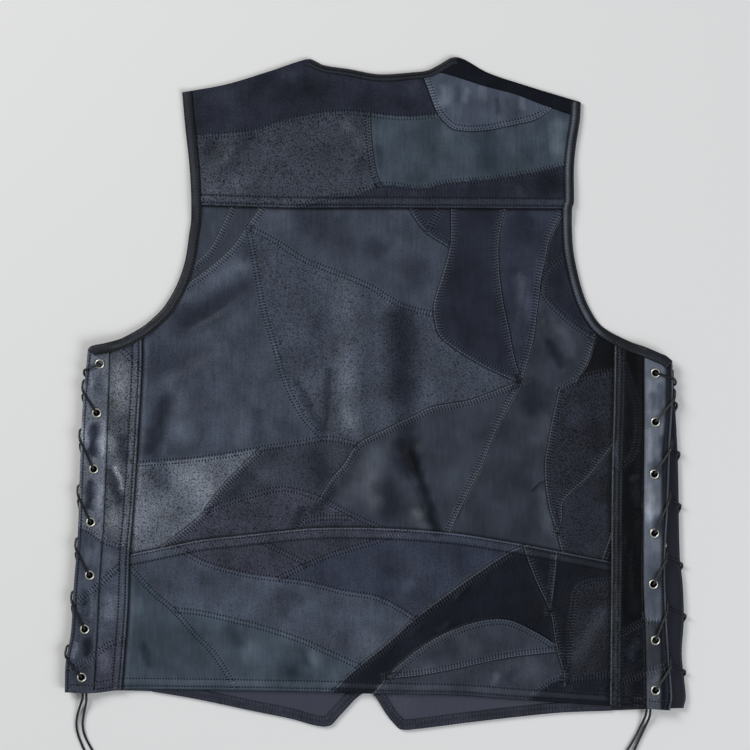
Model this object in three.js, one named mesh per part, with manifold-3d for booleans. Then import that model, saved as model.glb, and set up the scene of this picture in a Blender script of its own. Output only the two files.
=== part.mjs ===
// A patchwork leather vest, laid flat with its back up and laced at both sides.
// Millimetres. +X is to the right as it lies, +Y towards the neck, +Z up from the surface it rests on.
// The origin is on that surface, under the middle of the garment.
import * as THREE from 'three';
import Module from 'manifold-3d';
import { mergeVertices } from 'three/addons/utils/BufferGeometryUtils.js';

const wasm = await Module();
wasm.setup();

// Leather, seams and levels
const LEATHER = 1.4;
const SEAM_GAP = 0.3;
const LAYER = LEATHER + SEAM_GAP;
const SPARE = 0.1;
const SEAM_LAP = 10;
const LAP_START = 15;
const FRONT_TOP_INSET = 4;
const STRIP_PAST_SEAM = 4;
const TRIM_WIDTH = 10;
const NECK_TRIM_WIDTH = 7;
const TRIM_WALL = 1.1;
const TRIM_SPARE = 0.7;
const FACING_WALL = 0.8;
const FRONT_STRIP_LIFT = 3.4;
const BACK_STRIP_LIFT = 6.9;
const BACK_LIFT_START = 46;
const FRONT_LIFT_START = 38;
const LIFT_END = 20;
const PLAN_STEP = 14;
const CORNER_ROUNDS = 12;
const WELD = 1e-4;

// Eyelets and lace
const EYELET_BORE = 2.45;
const EYELET_BARREL = 2.85;
const EYELET_FLANGE = 4.8;
const EYELET_HOLE = 3.2;
const EYELET_PROUD = 0.9;
const EYELET_SEGMENTS = 8;
const EYELET_TAIL = 0.5;
const EYELET_BEVEL = 0.3;
const LACE = 2.4;
const LACE_SIDES = 6;
const CORD_SIDES = 8;
const CORD_STEP = 2.4 * LACE;
const KNOT = 5.4;
const KNOT_ROWS = 5;
const LEATHER_ROUGHNESS = 0.45;
const METAL_ROUGHNESS = 0.35;

const COLOURS = {
  yoke: 0x2f3840, body: 0x2b2e38, band: 0x2a2f3a, side: 0x23262f, strip: 0x2c2f3a,
  front: 0x23252c, trim: 0x1d2028, eyelet: 0xb9b5a6, lace: 0x15171b,
};

const table = (columns, rows) => rows.map((row) => (
  Object.fromEntries(columns.split(' ').map((name, i) => [name, row[i]]))));

// Cut lines, each a table from neck to hem or from left to right
const ARMHOLE_LEFT = table('x y', [
  [-192, 302], [-189, 268], [-185, 232], [-183, 201], [-183, 175], [-185, 160], [-189, 134],
  [-197, 110], [-209, 89], [-220, 77], [-232, 67]]);
const ARMHOLE_RIGHT = table('x y', [
  [207, 292], [206, 274], [202, 248], [200, 224], [200, 193], [198, 183], [199, 148],
  [204, 120], [211, 96], [220, 78], [228, 68], [240, 60]]);
const UNDERARM_LEFT = table('x y', [[-286, 44], [-282, 48], [-268, 51], [-254, 55], [-244, 60], [-232, 67]]);
const UNDERARM_RIGHT = table('x y', [[240, 60], [257, 52], [271, 47], [285, 41], [292, 38], [298, 33]]);
const TOP_EDGE = table('x y', [
  [-192, 302], [-148, 310], [-105, 323], [-72, 334], [-63, 335], [-50, 329], [-24, 325], [5, 320],
  [40, 322], [54, 324], [66, 330], [76, 336], [83, 337], [92, 334], [113, 322], [148, 310], [207, 292]]);
const SHOULDER_SEAM = table('x y', [[54, 324], [70, 321], [87, 316], [112, 308], [142, 300], [165, 291], [207, 276]]);
const YOKE_SEAM = table('x y', [[-183, 189], [-79, 186], [26, 186], [199, 185]]);
const BAND_SEAM = table('x y', [
  [-252, -162], [-213, -154], [-174, -146], [-129, -141], [-93, -137], [-58, -134], [6, -134],
  [78, -139], [142, -149], [189, -158], [246, -169]]);
const PRINCESS_LEFT = table('x y', [
  [-232, 67], [-232, 30], [-236, -46], [-241, -122], [-244, -158], [-246, -214], [-252, -295]]);
const PRINCESS_RIGHT = table('x y', [[241, 60], [240, -10], [238, -80], [237, -214], [236, -312]]);
const STRIP_SEAM_LEFT = table('x y', [
  [-264, 52], [-265, 4], [-268, -80], [-270, -129], [-274, -185], [-276, -229], [-280, -298]]);
const STRIP_SEAM_RIGHT = table('x y', [[270, 46], [270, -24], [269, -185], [271, -243], [272, -315]]);
const EDGE_LEFT = table('x y', [
  [-286, 44], [-291, -10], [-294, -80], [-296, -141], [-300, -192], [-303, -240], [-308, -267], [-309, -298]]);
const EDGE_RIGHT = table('x y', [
  [298, 33], [299, 4], [296, -52], [294, -108], [291, -170], [292, -214], [295, -265], [298, -302], [296, -315]]);
const FRONT_EDGE_LEFT = table('x y', [
  [-286, 36], [-290.5, -10], [-293.5, -80], [-295.5, -141], [-302.5, -240], [-308, -294]]);
const FRONT_EDGE_RIGHT = table('x y', [
  [300, 11], [304, -66], [306, -163], [309, -192], [310, -226], [308, -261], [312, -303], [310, -313]]);
const HEM = table('x y', [
  [-309, -298], [-280, -299], [-251, -296], [-200, -296], [-75, -298], [4, -300], [87, -302],
  [142, -306], [235, -312], [296, -316]]);
const FRONT_HEM_LEFT = table('x y', [
  [-309, -297], [-218, -298], [-180, -305], [-123, -317], [-84, -325], [-58, -332], [-44, -332]]);
const FRONT_HEM_RIGHT = table('x y', [
  [26, -336], [47, -335], [94, -329], [146, -323], [188, -319], [235, -317], [312, -314]]);
const FRONT_OPENING_LEFT = table('x y', [
  [-66, 328], [-40, 262], [-15, 200], [6, 150], [11, 110], [11, -282], [-5, -297], [-16, -303],
  [-34, -322], [-44, -333]]);
const FRONT_OPENING_RIGHT = table('x y', [
  [86, 330], [62, 262], [36, 200], [4, 150], [-11, 110], [-11, -288], [0, -301], [12, -320],
  [20, -330], [26, -336]]);
const ARMHOLE_FOOT = { left: 67, right: 60 };
const FRONT_ARMHOLE_INSET = 9;
const FRONT_SEAM = {
  left: { top: -223, slope: 0.05, inset: 9 },
  right: { top: 231, slope: -0.015, inset: -9 },
};

// The largest folds of the back: soft ridges from one end to the other
const FOLDS = table('x0 y0 x1 y1 wide high', [
  [-14, -72, -14, -98, 34, 4.0],
  [20, -58, 38, -112, 17, 3.0],
  [52, -60, 76, -112, 19, 3.2],
  [-24, 104, -24, -46, 18, 2.0],
  [-147, 39, -197, 8, 18, 2.0],
  [152, 112, 152, 62, 16, 1.8],
  [172, 66, 206, 16, 15, 1.8],
  [-65, -266, -48, -262, 26, 2.4],
  [86, -248, 124, -260, 22, 2.2],
  [198, -264, 214, -226, 16, 2.0],
  [-139, 255, -155, 222, 16, 1.8],
  [88, 300, 92, 262, 15, 1.2],
  [112, 300, 112, 262, 15, 1.2],
  [136, 292, 131, 258, 15, 1.2],
]);

// Eyelets down each lacing edge, from the armhole to the hem
const EYELETS_LEFT = table('x y', [
  [-274, 30], [-277, -19], [-280, -75], [-283, -128], [-284, -181], [-289, -235], [-292, -283]]);
const EYELETS_RIGHT = table('x y', [
  [281, 21], [281, -28], [280, -80], [280, -139], [279, -190], [281, -246], [281, -296]]);
const FRONT_EYELET_OUT = { left: 6, right: 8 };
const FRONT_EYELET_DOWN = { above: 12, last: 6 };

// Seen runs of facing and binding
const FACING_LEFT = table('x y', [
  [-222, -298], [-180, -305], [-123, -317], [-84, -325], [-58, -332], [-44, -332], [-34, -322], [-18, -305],
  [-8, -298]]);
const FACING_RIGHT = table('x y', [
  [1, -302], [12, -320], [20, -330], [28, -336], [47, -335], [94, -329], [146, -323], [188, -319], [238, -317]]);
const NECK_LINE = table('x y', [
  [-63, 335], [-50, 329], [-24, 325], [5, 320], [40, 322], [54, 324], [66, 330], [76, 336], [83, 337]]);

// Where the laced part hands over to the free ends, at the hem
const LACE_ENDS = {
  left: { front: { x: -291.1, y: -300.5, z: 6.9 }, back: { x: -287.7, y: -300.5, z: 6.3 } },
  right: { front: { x: 276.3, y: -316.5, z: 6.7 }, back: { x: 272.5, y: -316.5, z: 6.3 } },
};

// Routes of the four free ends, from the hem to their knots
const FREE_ENDS = {
  left_outer: table('x y z', [
    [-291.1, -300.9, 6.8], [-291.6, -305, 5.8], [-293.4, -310, 4], [-295.4, -316, 2.3], [-297.2, -323, 1.5],
    [-298, -330, 1.35], [-297.4, -337, 1.35], [-295.4, -344, 1.35], [-292.6, -351, 1.35], [-289.6, -358, 1.35],
    [-286.9, -366, 1.35], [-285, -374, 1.35], [-284, -382, 1.35], [-284, -390, 1.35], [-285, -398, 1.35],
    [-286.8, -405, 1.35]]),
  left_inner: table('x y z', [
    [-287.7, -300.9, 6.2], [-287.7, -305, 5.4], [-288.3, -310, 3.8], [-289.6, -316, 2.2], [-291, -323, 1.4],
    [-291.8, -330, 1.35], [-291, -337, 1.35], [-288.8, -344, 1.35], [-285.6, -350.5, 1.35], [-282, -357, 1.35],
    [-278.6, -364, 1.35], [-276, -371, 1.35], [-274.4, -379, 1.35], [-274, -387, 1.35], [-274.6, -394, 1.35]]),
  right_outer: table('x y z', [
    [276.3, -316.9, 6.6], [275.9, -321, 5.7], [274.6, -326, 3.8], [272, -332, 2.1], [269, -339, 1.4],
    [265.6, -346, 1.35], [262.4, -353, 1.35], [259.6, -360, 1.35], [257.4, -367, 1.35], [256, -375, 1.35],
    [255.6, -383, 1.35], [256.2, -391, 1.35], [257.8, -399, 1.35], [260.2, -406, 1.35], [263, -412, 1.35]]),
  right_inner: table('x y z', [
    [272.5, -316.9, 6.2], [271.8, -321, 5.3], [270, -326, 3.6], [267.2, -332, 1.9], [264, -339, 1.35],
    [260.2, -346, 1.35], [256, -353, 1.35], [251.8, -360, 1.35], [248, -367, 1.35], [244.9, -374, 1.35],
    [242.8, -382, 1.35], [242, -390, 1.35], [242.4, -398, 1.35], [244, -405, 1.35]]),
};

// Where each layer's rise begins and where it is full: across from the middle line, along the length,
// or away from a seam
const OVERLAP_ACROSS = [54, 24];
const OVERLAP_ALONG = [262, 202];
const UPPER_FRONT_ACROSS = [46, 16];
const UPPER_FRONT_HEM = [-332, -306];
const UPPER_FRONT_TOP = [200, 160];
const FACING_ALONG = [-240, -282];
const FACING_ACROSS = [280, 250];
const YOKE_BELOW_SEAM = [-20, 0];
const YOKE_ABOVE_SEAM = [62, 20];
const BAND_BELOW_SEAM = [-64, -20];
const BAND_ABOVE_SEAM = [34, 10];
const LAP_OUTSIDE_SEAM = [-26, -14];
const LAP_INSIDE_SEAM = [14, 0];

const clamp01 = (t) => Math.min(1, Math.max(0, t));
const ease = (t) => clamp01(t) ** 2 * (3 - 2 * clamp01(t));
const ramp = (at, [start, full]) => ease((at - start) / (full - start));

// A smooth line through a table, read one way: key in, value out, held level past its ends
function line(rows, key, value) {
  const points = [...rows].sort((a, b) => a[key] - b[key]);
  const slope = points.map((p, i) => {
    const before = points[Math.max(i - 1, 0)];
    const after = points[Math.min(i + 1, points.length - 1)];
    return (after[value] - before[value]) / (after[key] - before[key]);
  });
  return (at) => {
    const last = points.length - 1;
    if (at <= points[0][key]) return points[0][value];
    if (at >= points[last][key]) return points[last][value];
    const i = points.findIndex((p) => p[key] > at) - 1;
    const span = points[i + 1][key] - points[i][key];
    const t = (at - points[i][key]) / span;
    return THREE.MathUtils.lerp(points[i][value], points[i + 1][value], t * t * (3 - 2 * t))
      + span * t * (1 - t) * (slope[i] * (1 - t) - slope[i + 1] * t);
  };
}
const sideways = (rows) => line(rows, 'y', 'x');
const upwards = (rows) => line(rows, 'x', 'y');
const shifted = (edge, by) => (at) => edge(at) + by;

const topEdge = upwards(TOP_EDGE);
const shoulderSeam = upwards(SHOULDER_SEAM);
const yokeSeam = upwards(YOKE_SEAM);
const bandSeam = upwards(BAND_SEAM);
const hem = upwards(HEM);
const princess = { left: sideways(PRINCESS_LEFT), right: sideways(PRINCESS_RIGHT) };
const stripSeam = { left: sideways(STRIP_SEAM_LEFT), right: sideways(STRIP_SEAM_RIGHT) };
const edge = { left: sideways(EDGE_LEFT), right: sideways(EDGE_RIGHT) };
const frontEdge = { left: sideways(FRONT_EDGE_LEFT), right: sideways(FRONT_EDGE_RIGHT) };
const underarm = { left: upwards(UNDERARM_LEFT), right: upwards(UNDERARM_RIGHT) };
const armhole = { left: sideways(ARMHOLE_LEFT), right: sideways(ARMHOLE_RIGHT) };

// How far the layers rise towards the laced edges, 0 in the middle and 1 at the eyelets
function sideRise(edges, start, x, y) {
  const inside = Math.min(x - edges.left(y), edges.right(y) - x);
  return ramp(inside, [start, LIFT_END]);
}

function foldRise(x, y) {
  let rise = 0;
  for (const fold of FOLDS) {
    const start = new THREE.Vector2(fold.x0, fold.y0);
    const run = new THREE.Vector2(fold.x1, fold.y1).sub(start);
    const t = clamp01(new THREE.Vector2(x, y).sub(start).dot(run) / run.lengthSq());
    const away = Math.hypot(x - fold.x0 - run.x * t, y - fold.y0 - run.y * t);
    rise = Math.max(rise, fold.high * ease(1 - away / fold.wide));
  }
  return rise;
}

// Underside levels of each layer, from the surface up
const frontLevel = (x, y) => FRONT_STRIP_LIFT * sideRise(frontEdge, FRONT_LIFT_START, x, y);
const upperFrontLevel = (x, y) => (
  frontLevel(x, y) + (LAYER + SPARE) * ramp(x, UPPER_FRONT_ACROSS)
    * ramp(y, UPPER_FRONT_HEM) * ramp(y, UPPER_FRONT_TOP));
const overlapRise = (x, y) => LAYER * ramp(Math.abs(x), OVERLAP_ACROSS) * ramp(y, OVERLAP_ALONG);
const facingRise = (x, y) => (
  (FACING_WALL + SEAM_GAP) * ramp(y, FACING_ALONG) * ramp(Math.abs(x), FACING_ACROSS));
const bodyLevel = (x, y) => (
  LAYER + overlapRise(x, y) + facingRise(x, y) + BACK_STRIP_LIFT * sideRise(edge, BACK_LIFT_START, x, y)
  + foldRise(x, y));
const seamRise = (away, below, above) => LAYER * ramp(away, below) * ramp(away, above);
const yokeRise = (x, y) => seamRise(y - yokeSeam(x), YOKE_BELOW_SEAM, YOKE_ABOVE_SEAM);
const bandRise = (x, y) => seamRise(y - bandSeam(x), BAND_BELOW_SEAM, BAND_ABOVE_SEAM);
const yokeLevel = (x, y) => bodyLevel(x, y) + yokeRise(x, Math.max(y, yokeSeam(x)));
const bandLevel = (x, y) => bodyLevel(x, y) + bandRise(x, Math.min(y, bandSeam(x)));
function lapRise(x, y) {
  const over = Math.min(x - princess.left(y), princess.right(y) - x);
  return ramp(over, LAP_OUTSIDE_SEAM) * ramp(over, LAP_INSIDE_SEAM);
}
const sideLevel = (x, y) => bodyLevel(x, y) + lapRise(x, y) * (LAYER + bandRise(x, y));
function trimLevel(x, y) {
  const outside = Math.max(princess.left(y) - x, x - princess.right(y));
  return bodyLevel(x, y) + LAYER + Math.max(yokeRise(x, y), LAYER * lapRise(x, y))
    + TRIM_SPARE * ramp(outside, [0, TRIM_WIDTH]);
}
const facingLevel = (level) => (x, y) => level(x, y) + LAYER + SPARE;

// A closed wall between a lower and an upper sheet over the same grid of plan points
function wall(plan, under, thickness) {
  const [first, beside] = plan[0];
  const turn = beside.clone().sub(first).cross(plan[1][0].clone().sub(first));
  if (turn > 0) plan.forEach((row) => row.reverse());
  const down = plan.length;
  const across = plan[0].length;
  const position = [];
  for (const lift of [thickness, 0]) {
    for (const row of plan) {
      for (const p of row) position.push(p.x, p.y, under(p.x, p.y) + lift);
    }
  }
  const upper = (r, c) => r * across + c;
  const lower = (r, c) => down * across + r * across + c;
  const index = [];
  const quad = (a, b, c, d) => index.push(a, b, c, a, c, d);
  for (let r = 0; r + 1 < down; r += 1) {
    for (let c = 0; c + 1 < across; c += 1) {
      quad(upper(r, c), upper(r + 1, c), upper(r + 1, c + 1), upper(r, c + 1));
      quad(lower(r, c), lower(r, c + 1), lower(r + 1, c + 1), lower(r + 1, c));
    }
    quad(upper(r, 0), lower(r, 0), lower(r + 1, 0), upper(r + 1, 0));
    quad(upper(r, across - 1), upper(r + 1, across - 1), lower(r + 1, across - 1), lower(r, across - 1));
  }
  for (let c = 0; c + 1 < across; c += 1) {
    quad(upper(0, c), upper(0, c + 1), lower(0, c + 1), lower(0, c));
    quad(upper(down - 1, c), lower(down - 1, c), lower(down - 1, c + 1), upper(down - 1, c + 1));
  }
  const geometry = new THREE.BufferGeometry();
  geometry.setAttribute('position', new THREE.Float32BufferAttribute(position, 3));
  geometry.setIndex(index);
  return geometry;
}

// Plan points of a panel between its four cut lines, spread evenly over its inside
function panelPlan({ left, right, top, bottom, columns, rows }) {
  const corner = (side, end) => {
    let y = end(side(0));
    for (let i = 0; i < CORNER_ROUNDS; i += 1) y = end(side(y));
    return new THREE.Vector2(side(y), y);
  };
  const corners = {
    tl: corner(left, top), tr: corner(right, top), bl: corner(left, bottom), br: corner(right, bottom),
  };
  const mix = THREE.MathUtils.lerp;
  const plan = [];
  for (let r = 0; r <= rows; r += 1) {
    const v = r / rows;
    const row = [];
    for (let c = 0; c <= columns; c += 1) {
      const u = c / columns;
      const yl = mix(corners.tl.y, corners.bl.y, v);
      const yr = mix(corners.tr.y, corners.br.y, v);
      const xt = mix(corners.tl.x, corners.tr.x, u);
      const xb = mix(corners.bl.x, corners.br.x, u);
      const flatX = mix(mix(corners.tl.x, corners.tr.x, u), mix(corners.bl.x, corners.br.x, u), v);
      const flatY = mix(mix(corners.tl.y, corners.tr.y, u), mix(corners.bl.y, corners.br.y, u), v);
      row.push(new THREE.Vector2(
        mix(left(yl), right(yr), u) + mix(xt, xb, v) - flatX,
        mix(yl, yr, u) + mix(top(xt), bottom(xb), v) - flatY));
    }
    plan.push(row);
  }
  return plan;
}

// Plan points of a narrow strip that follows a line, from one edge to its other edge
function ribbonPlan(points, width, inward) {
  const outer = new THREE.SplineCurve(points.map((p) => new THREE.Vector2(p.x, p.y)));
  const steps = Math.round(outer.getLength() / PLAN_STEP);
  const plan = [[], []];
  for (let i = 0; i <= steps; i += 1) {
    const at = outer.getPointAt(i / steps);
    const along = outer.getTangentAt(i / steps);
    plan[0].push(at);
    plan[1].push(new THREE.Vector2(at.x - along.y * width * inward, at.y + along.x * width * inward));
  }
  return plan;
}

function solidOf(geometry) {
  geometry.deleteAttribute('normal');
  geometry.deleteAttribute('uv');
  const merged = mergeVertices(geometry, WELD);
  return new wasm.Manifold(new wasm.Mesh({
    numProp: 3,
    vertProperties: new Float32Array(merged.attributes.position.array),
    triVerts: new Uint32Array(merged.index.array),
  }));
}

function geometryOf(solid) {
  const mesh = solid.getMesh();
  const geometry = new THREE.BufferGeometry();
  geometry.setAttribute('position', new THREE.BufferAttribute(mesh.vertProperties, 3));
  geometry.setIndex(new THREE.BufferAttribute(mesh.triVerts, 1));
  return geometry;
}

// Round holes through a strip, one at each eyelet
function punched(geometry, eyelets, level) {
  let solid = solidOf(geometry);
  for (const { x, y } of eyelets) {
    const punch = new THREE.CylinderGeometry(EYELET_HOLE, EYELET_HOLE, 4 * LEATHER, EYELET_SEGMENTS);
    punch.rotateX(Math.PI / 2);
    punch.translate(x, y, level(x, y) + LEATHER / 2);
    solid = solid.subtract(solidOf(punch));
  }
  return geometryOf(solid);
}

// The cut lines' own zero is 1.8 mm left of the garment's middle and 0.5 mm below it
const MIDDLE = new THREE.Vector3(1.8, 0.5, 0);

const vest = new THREE.Group();
vest.position.sub(MIDDLE);
function add(name, geometry, colour, roughness = LEATHER_ROUGHNESS, metalness = 0) {
  const material = new THREE.MeshStandardMaterial({ color: colour, roughness, metalness });
  const mesh = new THREE.Mesh(geometry, material);
  mesh.name = name;
  vest.add(mesh);
}
function addPanel(name, cut, level, colour) {
  add(name, wall(panelPlan(cut), level, LEATHER), colour);
}

// Back yoke, patchwork body and hem band, each lapped over the next piece down
addPanel('back_yoke', {
  left: armhole.left,
  right: armhole.right,
  top: (x) => (x > SHOULDER_SEAM[0].x ? shoulderSeam(x) - 2 * SEAM_GAP : topEdge(x)),
  bottom: yokeSeam,
  columns: 22,
  rows: 6,
}, yokeLevel, COLOURS.yoke);
const bodySide = (side, lap) => (y) => {
  const foot = ARMHOLE_FOOT[side];
  return y > foot ? armhole[side](y) : princess[side](y) + lap * ramp(y, [foot, foot - LAP_START]);
};
addPanel('back_body', {
  left: bodySide('left', -SEAM_LAP),
  right: bodySide('right', SEAM_LAP),
  top: shifted(yokeSeam, SEAM_LAP),
  bottom: shifted(bandSeam, -SEAM_LAP),
  columns: 22,
  rows: 17,
}, bodyLevel, COLOURS.body);
addPanel('back_hem_band', {
  left: shifted(princess.left, -SEAM_LAP),
  right: shifted(princess.right, SEAM_LAP),
  top: bandSeam,
  bottom: hem,
  columns: 22,
  rows: 8,
}, bandLevel, COLOURS.band);

// Shoulder strip of the right front, folded over the shoulder on to the back
addPanel('shoulder_strip_right', {
  left: () => SHOULDER_SEAM[1].x - STRIP_PAST_SEAM,
  right: armhole.right,
  top: topEdge,
  bottom: shoulderSeam,
  columns: 9,
  rows: 1,
}, bodyLevel, COLOURS.yoke);

// Fronts, under the back, the right one over the left one down the middle
const frontSide = (side) => (y) => {
  const { top, slope, inset } = FRONT_SEAM[side];
  const foot = ARMHOLE_FOOT[side];
  return y > foot ? armhole[side](y) + inset : top + (y - foot) * slope;
};
addPanel('front_left', {
  left: frontSide('left'),
  right: sideways(FRONT_OPENING_LEFT),
  top: shifted(topEdge, -FRONT_TOP_INSET),
  bottom: upwards(FRONT_HEM_LEFT),
  columns: 6,
  rows: 13,
}, frontLevel, COLOURS.front);
addPanel('front_right', {
  left: sideways(FRONT_OPENING_RIGHT),
  right: frontSide('right'),
  top: shifted(topEdge, -FRONT_TOP_INSET),
  bottom: upwards(FRONT_HEM_RIGHT),
  columns: 7,
  rows: 13,
}, upperFrontLevel, COLOURS.front);

// Facings sewn along the fronts' hems and opening edges, where they show below the back
function addRibbon(name, points, width, inward, level, thickness) {
  add(name, wall(ribbonPlan(points, width, inward), level, thickness), COLOURS.trim);
}
addRibbon('front_facing_left', FACING_LEFT, TRIM_WIDTH, 1, facingLevel(frontLevel), FACING_WALL);
addRibbon('front_facing_right', FACING_RIGHT, TRIM_WIDTH, 1, facingLevel(upperFrontLevel), FACING_WALL);

// Bindings of the neck and of the armholes
addRibbon('neck_binding', NECK_LINE, NECK_TRIM_WIDTH, -1, trimLevel, TRIM_WALL);
for (const [side, hole, under, inward] of [
  ['left', ARMHOLE_LEFT, UNDERARM_LEFT, 1], ['right', ARMHOLE_RIGHT, UNDERARM_RIGHT, -1]]) {
  const sorted = [...under].sort((a, b) => b.y - a.y);
  addRibbon(`armhole_binding_${side}`, [...hole, ...sorted.slice(1)], TRIM_WIDTH, inward,
    trimLevel, TRIM_WALL);
}

// Side panels, the lacing strips with their holes, the eyelets and the lace, side by side
const eyeletRing = new THREE.LatheGeometry([
  [EYELET_BORE, -EYELET_TAIL], [EYELET_BARREL, -EYELET_TAIL], [EYELET_BARREL, LEATHER + SEAM_GAP],
  [EYELET_FLANGE, LEATHER + SEAM_GAP], [EYELET_FLANGE - EYELET_BEVEL, LEATHER + EYELET_PROUD],
  [EYELET_BORE, LEATHER + EYELET_PROUD], [EYELET_BORE, -EYELET_TAIL],
].map(([r, z]) => new THREE.Vector2(r, z)), EYELET_SEGMENTS);
eyeletRing.rotateX(Math.PI / 2);

// A path through corner points, each corner rounded off, stepped only where it bends
const CORNER_SHARE = 0.45;
const BEND_STEP = 0.8;
class Route extends THREE.Curve {
  constructor(corners, radius) {
    super();
    this.stations = [corners[0]];
    for (let i = 1; i + 1 < corners.length; i += 1) {
      const before = corners[i - 1].clone().sub(corners[i]);
      const after = corners[i + 1].clone().sub(corners[i]);
      const bend = Math.PI - before.angleTo(after);
      const room = CORNER_SHARE * Math.min(before.length(), after.length());
      const reach = Math.min(radius * Math.tan(bend / 2), room);
      const from = corners[i].clone().add(before.setLength(reach));
      const to = corners[i].clone().add(after.setLength(reach));
      const steps = Math.max(1, Math.round(bend / BEND_STEP));
      const round = new THREE.QuadraticBezierCurve3(from, corners[i], to);
      this.stations.push(...(steps === 1 ? [round.getPoint(0.5)] : round.getPoints(steps)));
    }
    this.stations.push(corners[corners.length - 1]);
  }

  getPoint(t, target = new THREE.Vector3()) {
    const at = t * (this.stations.length - 1);
    const i = Math.min(Math.floor(at), this.stations.length - 2);
    return target.lerpVectors(this.stations[i], this.stations[i + 1], at - i);
  }

  getTangent(t, target = new THREE.Vector3()) {
    const half = 0.5 / (this.stations.length - 1);
    const ahead = this.getPoint(Math.min(1, t + half));
    return target.copy(ahead).sub(this.getPoint(Math.max(0, t - half))).normalize();
  }

  getPointAt(t, target) { return this.getPoint(t, target); }

  getTangentAt(t, target) { return this.getTangent(t, target); }

  getSpacedPoints() { return this.stations; }
}

function tube(path, steps, diameter, sides) {
  const radius = diameter / 2 / Math.sqrt(Math.cos(Math.PI / sides));
  const turns = Array.from({ length: sides }, (_, i) => (i * 2 * Math.PI) / sides);
  const section = new THREE.Shape(turns.map((turn) => (
    new THREE.Vector2(radius * Math.cos(turn), radius * Math.sin(turn)))));
  return geometryOf(solidOf(new THREE.ExtrudeGeometry(section, {
    steps, bevelEnabled: false, extrudePath: path,
  })));
}

// Levels of the lace's middle line
const LACE_BENEATH = 1.38;
const LACE_LOW_GAP = 6.3;
const LACE_HIGH_GAP = 7.1;
const LACE_OUTSIDE = 9.3;
const LACE_ON_TOP = 11.5;
const LACE_OVER_EYELET = 12.5;
const LACE_CLEAR = LACE / 2 + 0.55;
const LACE_BEND = 1.8;
const OVER_BACK_EDGE = { near: 17, beside: 23, above: 27, tuck: 1 };
const ROUND_FRONT_EDGE = { level: 12, below: 19, near: 31, beneath: 34.5, out: 2.5 };
const TOP_BAR = { above: 6, beside: 9, beneath: 12, tuck: 0.4 };

// One side's lace, from the hem end of the strand in the front's last eyelet to that of the other strand
function lacePath(side, sign, backEyelets, frontEyelets) {
  const at = (out, y, z) => new THREE.Vector3(sign * out, y, z);
  const backEdge = (y) => sign * edge[side](y) + LACE_CLEAR;
  const faceEdge = (y) => sign * frontEdge[side](y) + LACE_CLEAR;
  const downBack = (k) => {
    const { x, y } = backEyelets[k];
    return [at(sign * x, y, LACE_OVER_EYELET), at(sign * x, y, LACE_LOW_GAP)];
  };
  const upFront = (k) => {
    const { x, y } = frontEyelets[k];
    return [at(sign * x, y, LACE_BENEATH), at(sign * x, y, LACE_HIGH_GAP)];
  };
  const overBack = (k) => {
    const { y } = backEyelets[k];
    const { near, beside, above, tuck } = OVER_BACK_EDGE;
    return [
      at(backEdge(y - near), y - near, LACE_HIGH_GAP),
      at(backEdge(y - beside), y - beside, LACE_OUTSIDE),
      at(backEdge(y - above) - tuck, y - above, LACE_ON_TOP),
    ];
  };
  const roundFront = (k) => {
    const { x, y } = backEyelets[k];
    const { level, below, near, beneath, out } = ROUND_FRONT_EDGE;
    const beside = FRONT_EYELET_OUT[side] - EYELET_FLANGE - LACE / 2 - SEAM_GAP;
    return [
      at(sign * x + beside, y - level, LACE_LOW_GAP),
      at(sign * x + beside + out, y - below, LACE_LOW_GAP),
      at(faceEdge(y - near), y - near, LACE_LOW_GAP),
      at(faceEdge(y - beneath), y - beneath, LACE_BENEATH),
    ];
  };
  const strand = (onBack) => backEyelets.flatMap((eyelet, k) => {
    const here = (k % 2 === 0) === onBack ? downBack(k) : upFront(k);
    if (k + 1 === backEyelets.length) return here;
    return [...here, ...((k % 2 === 0) === onBack ? roundFront(k) : overBack(k))];
  });
  const [{ y: top }] = backEyelets;
  const { above, beside, beneath, tuck } = TOP_BAR;
  const bar = [
    at(faceEdge(top - beneath), top - beneath, LACE_BENEATH),
    at(Math.max(backEdge(top - beside), faceEdge(top - beside)), top - beside, LACE_LOW_GAP),
    at(backEdge(top - above) - tuck, top - above, LACE_ON_TOP),
  ];
  const ends = LACE_ENDS[side];
  const tail = ({ x, y, z }) => [at(sign * x, y + 2 * LACE, z), at(sign * x, y, z)];
  return new Route([
    ...tail(ends.front).reverse(), ...strand(false).reverse(), ...bar, ...strand(true), ...tail(ends.back),
  ], LACE_BEND);
}

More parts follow.
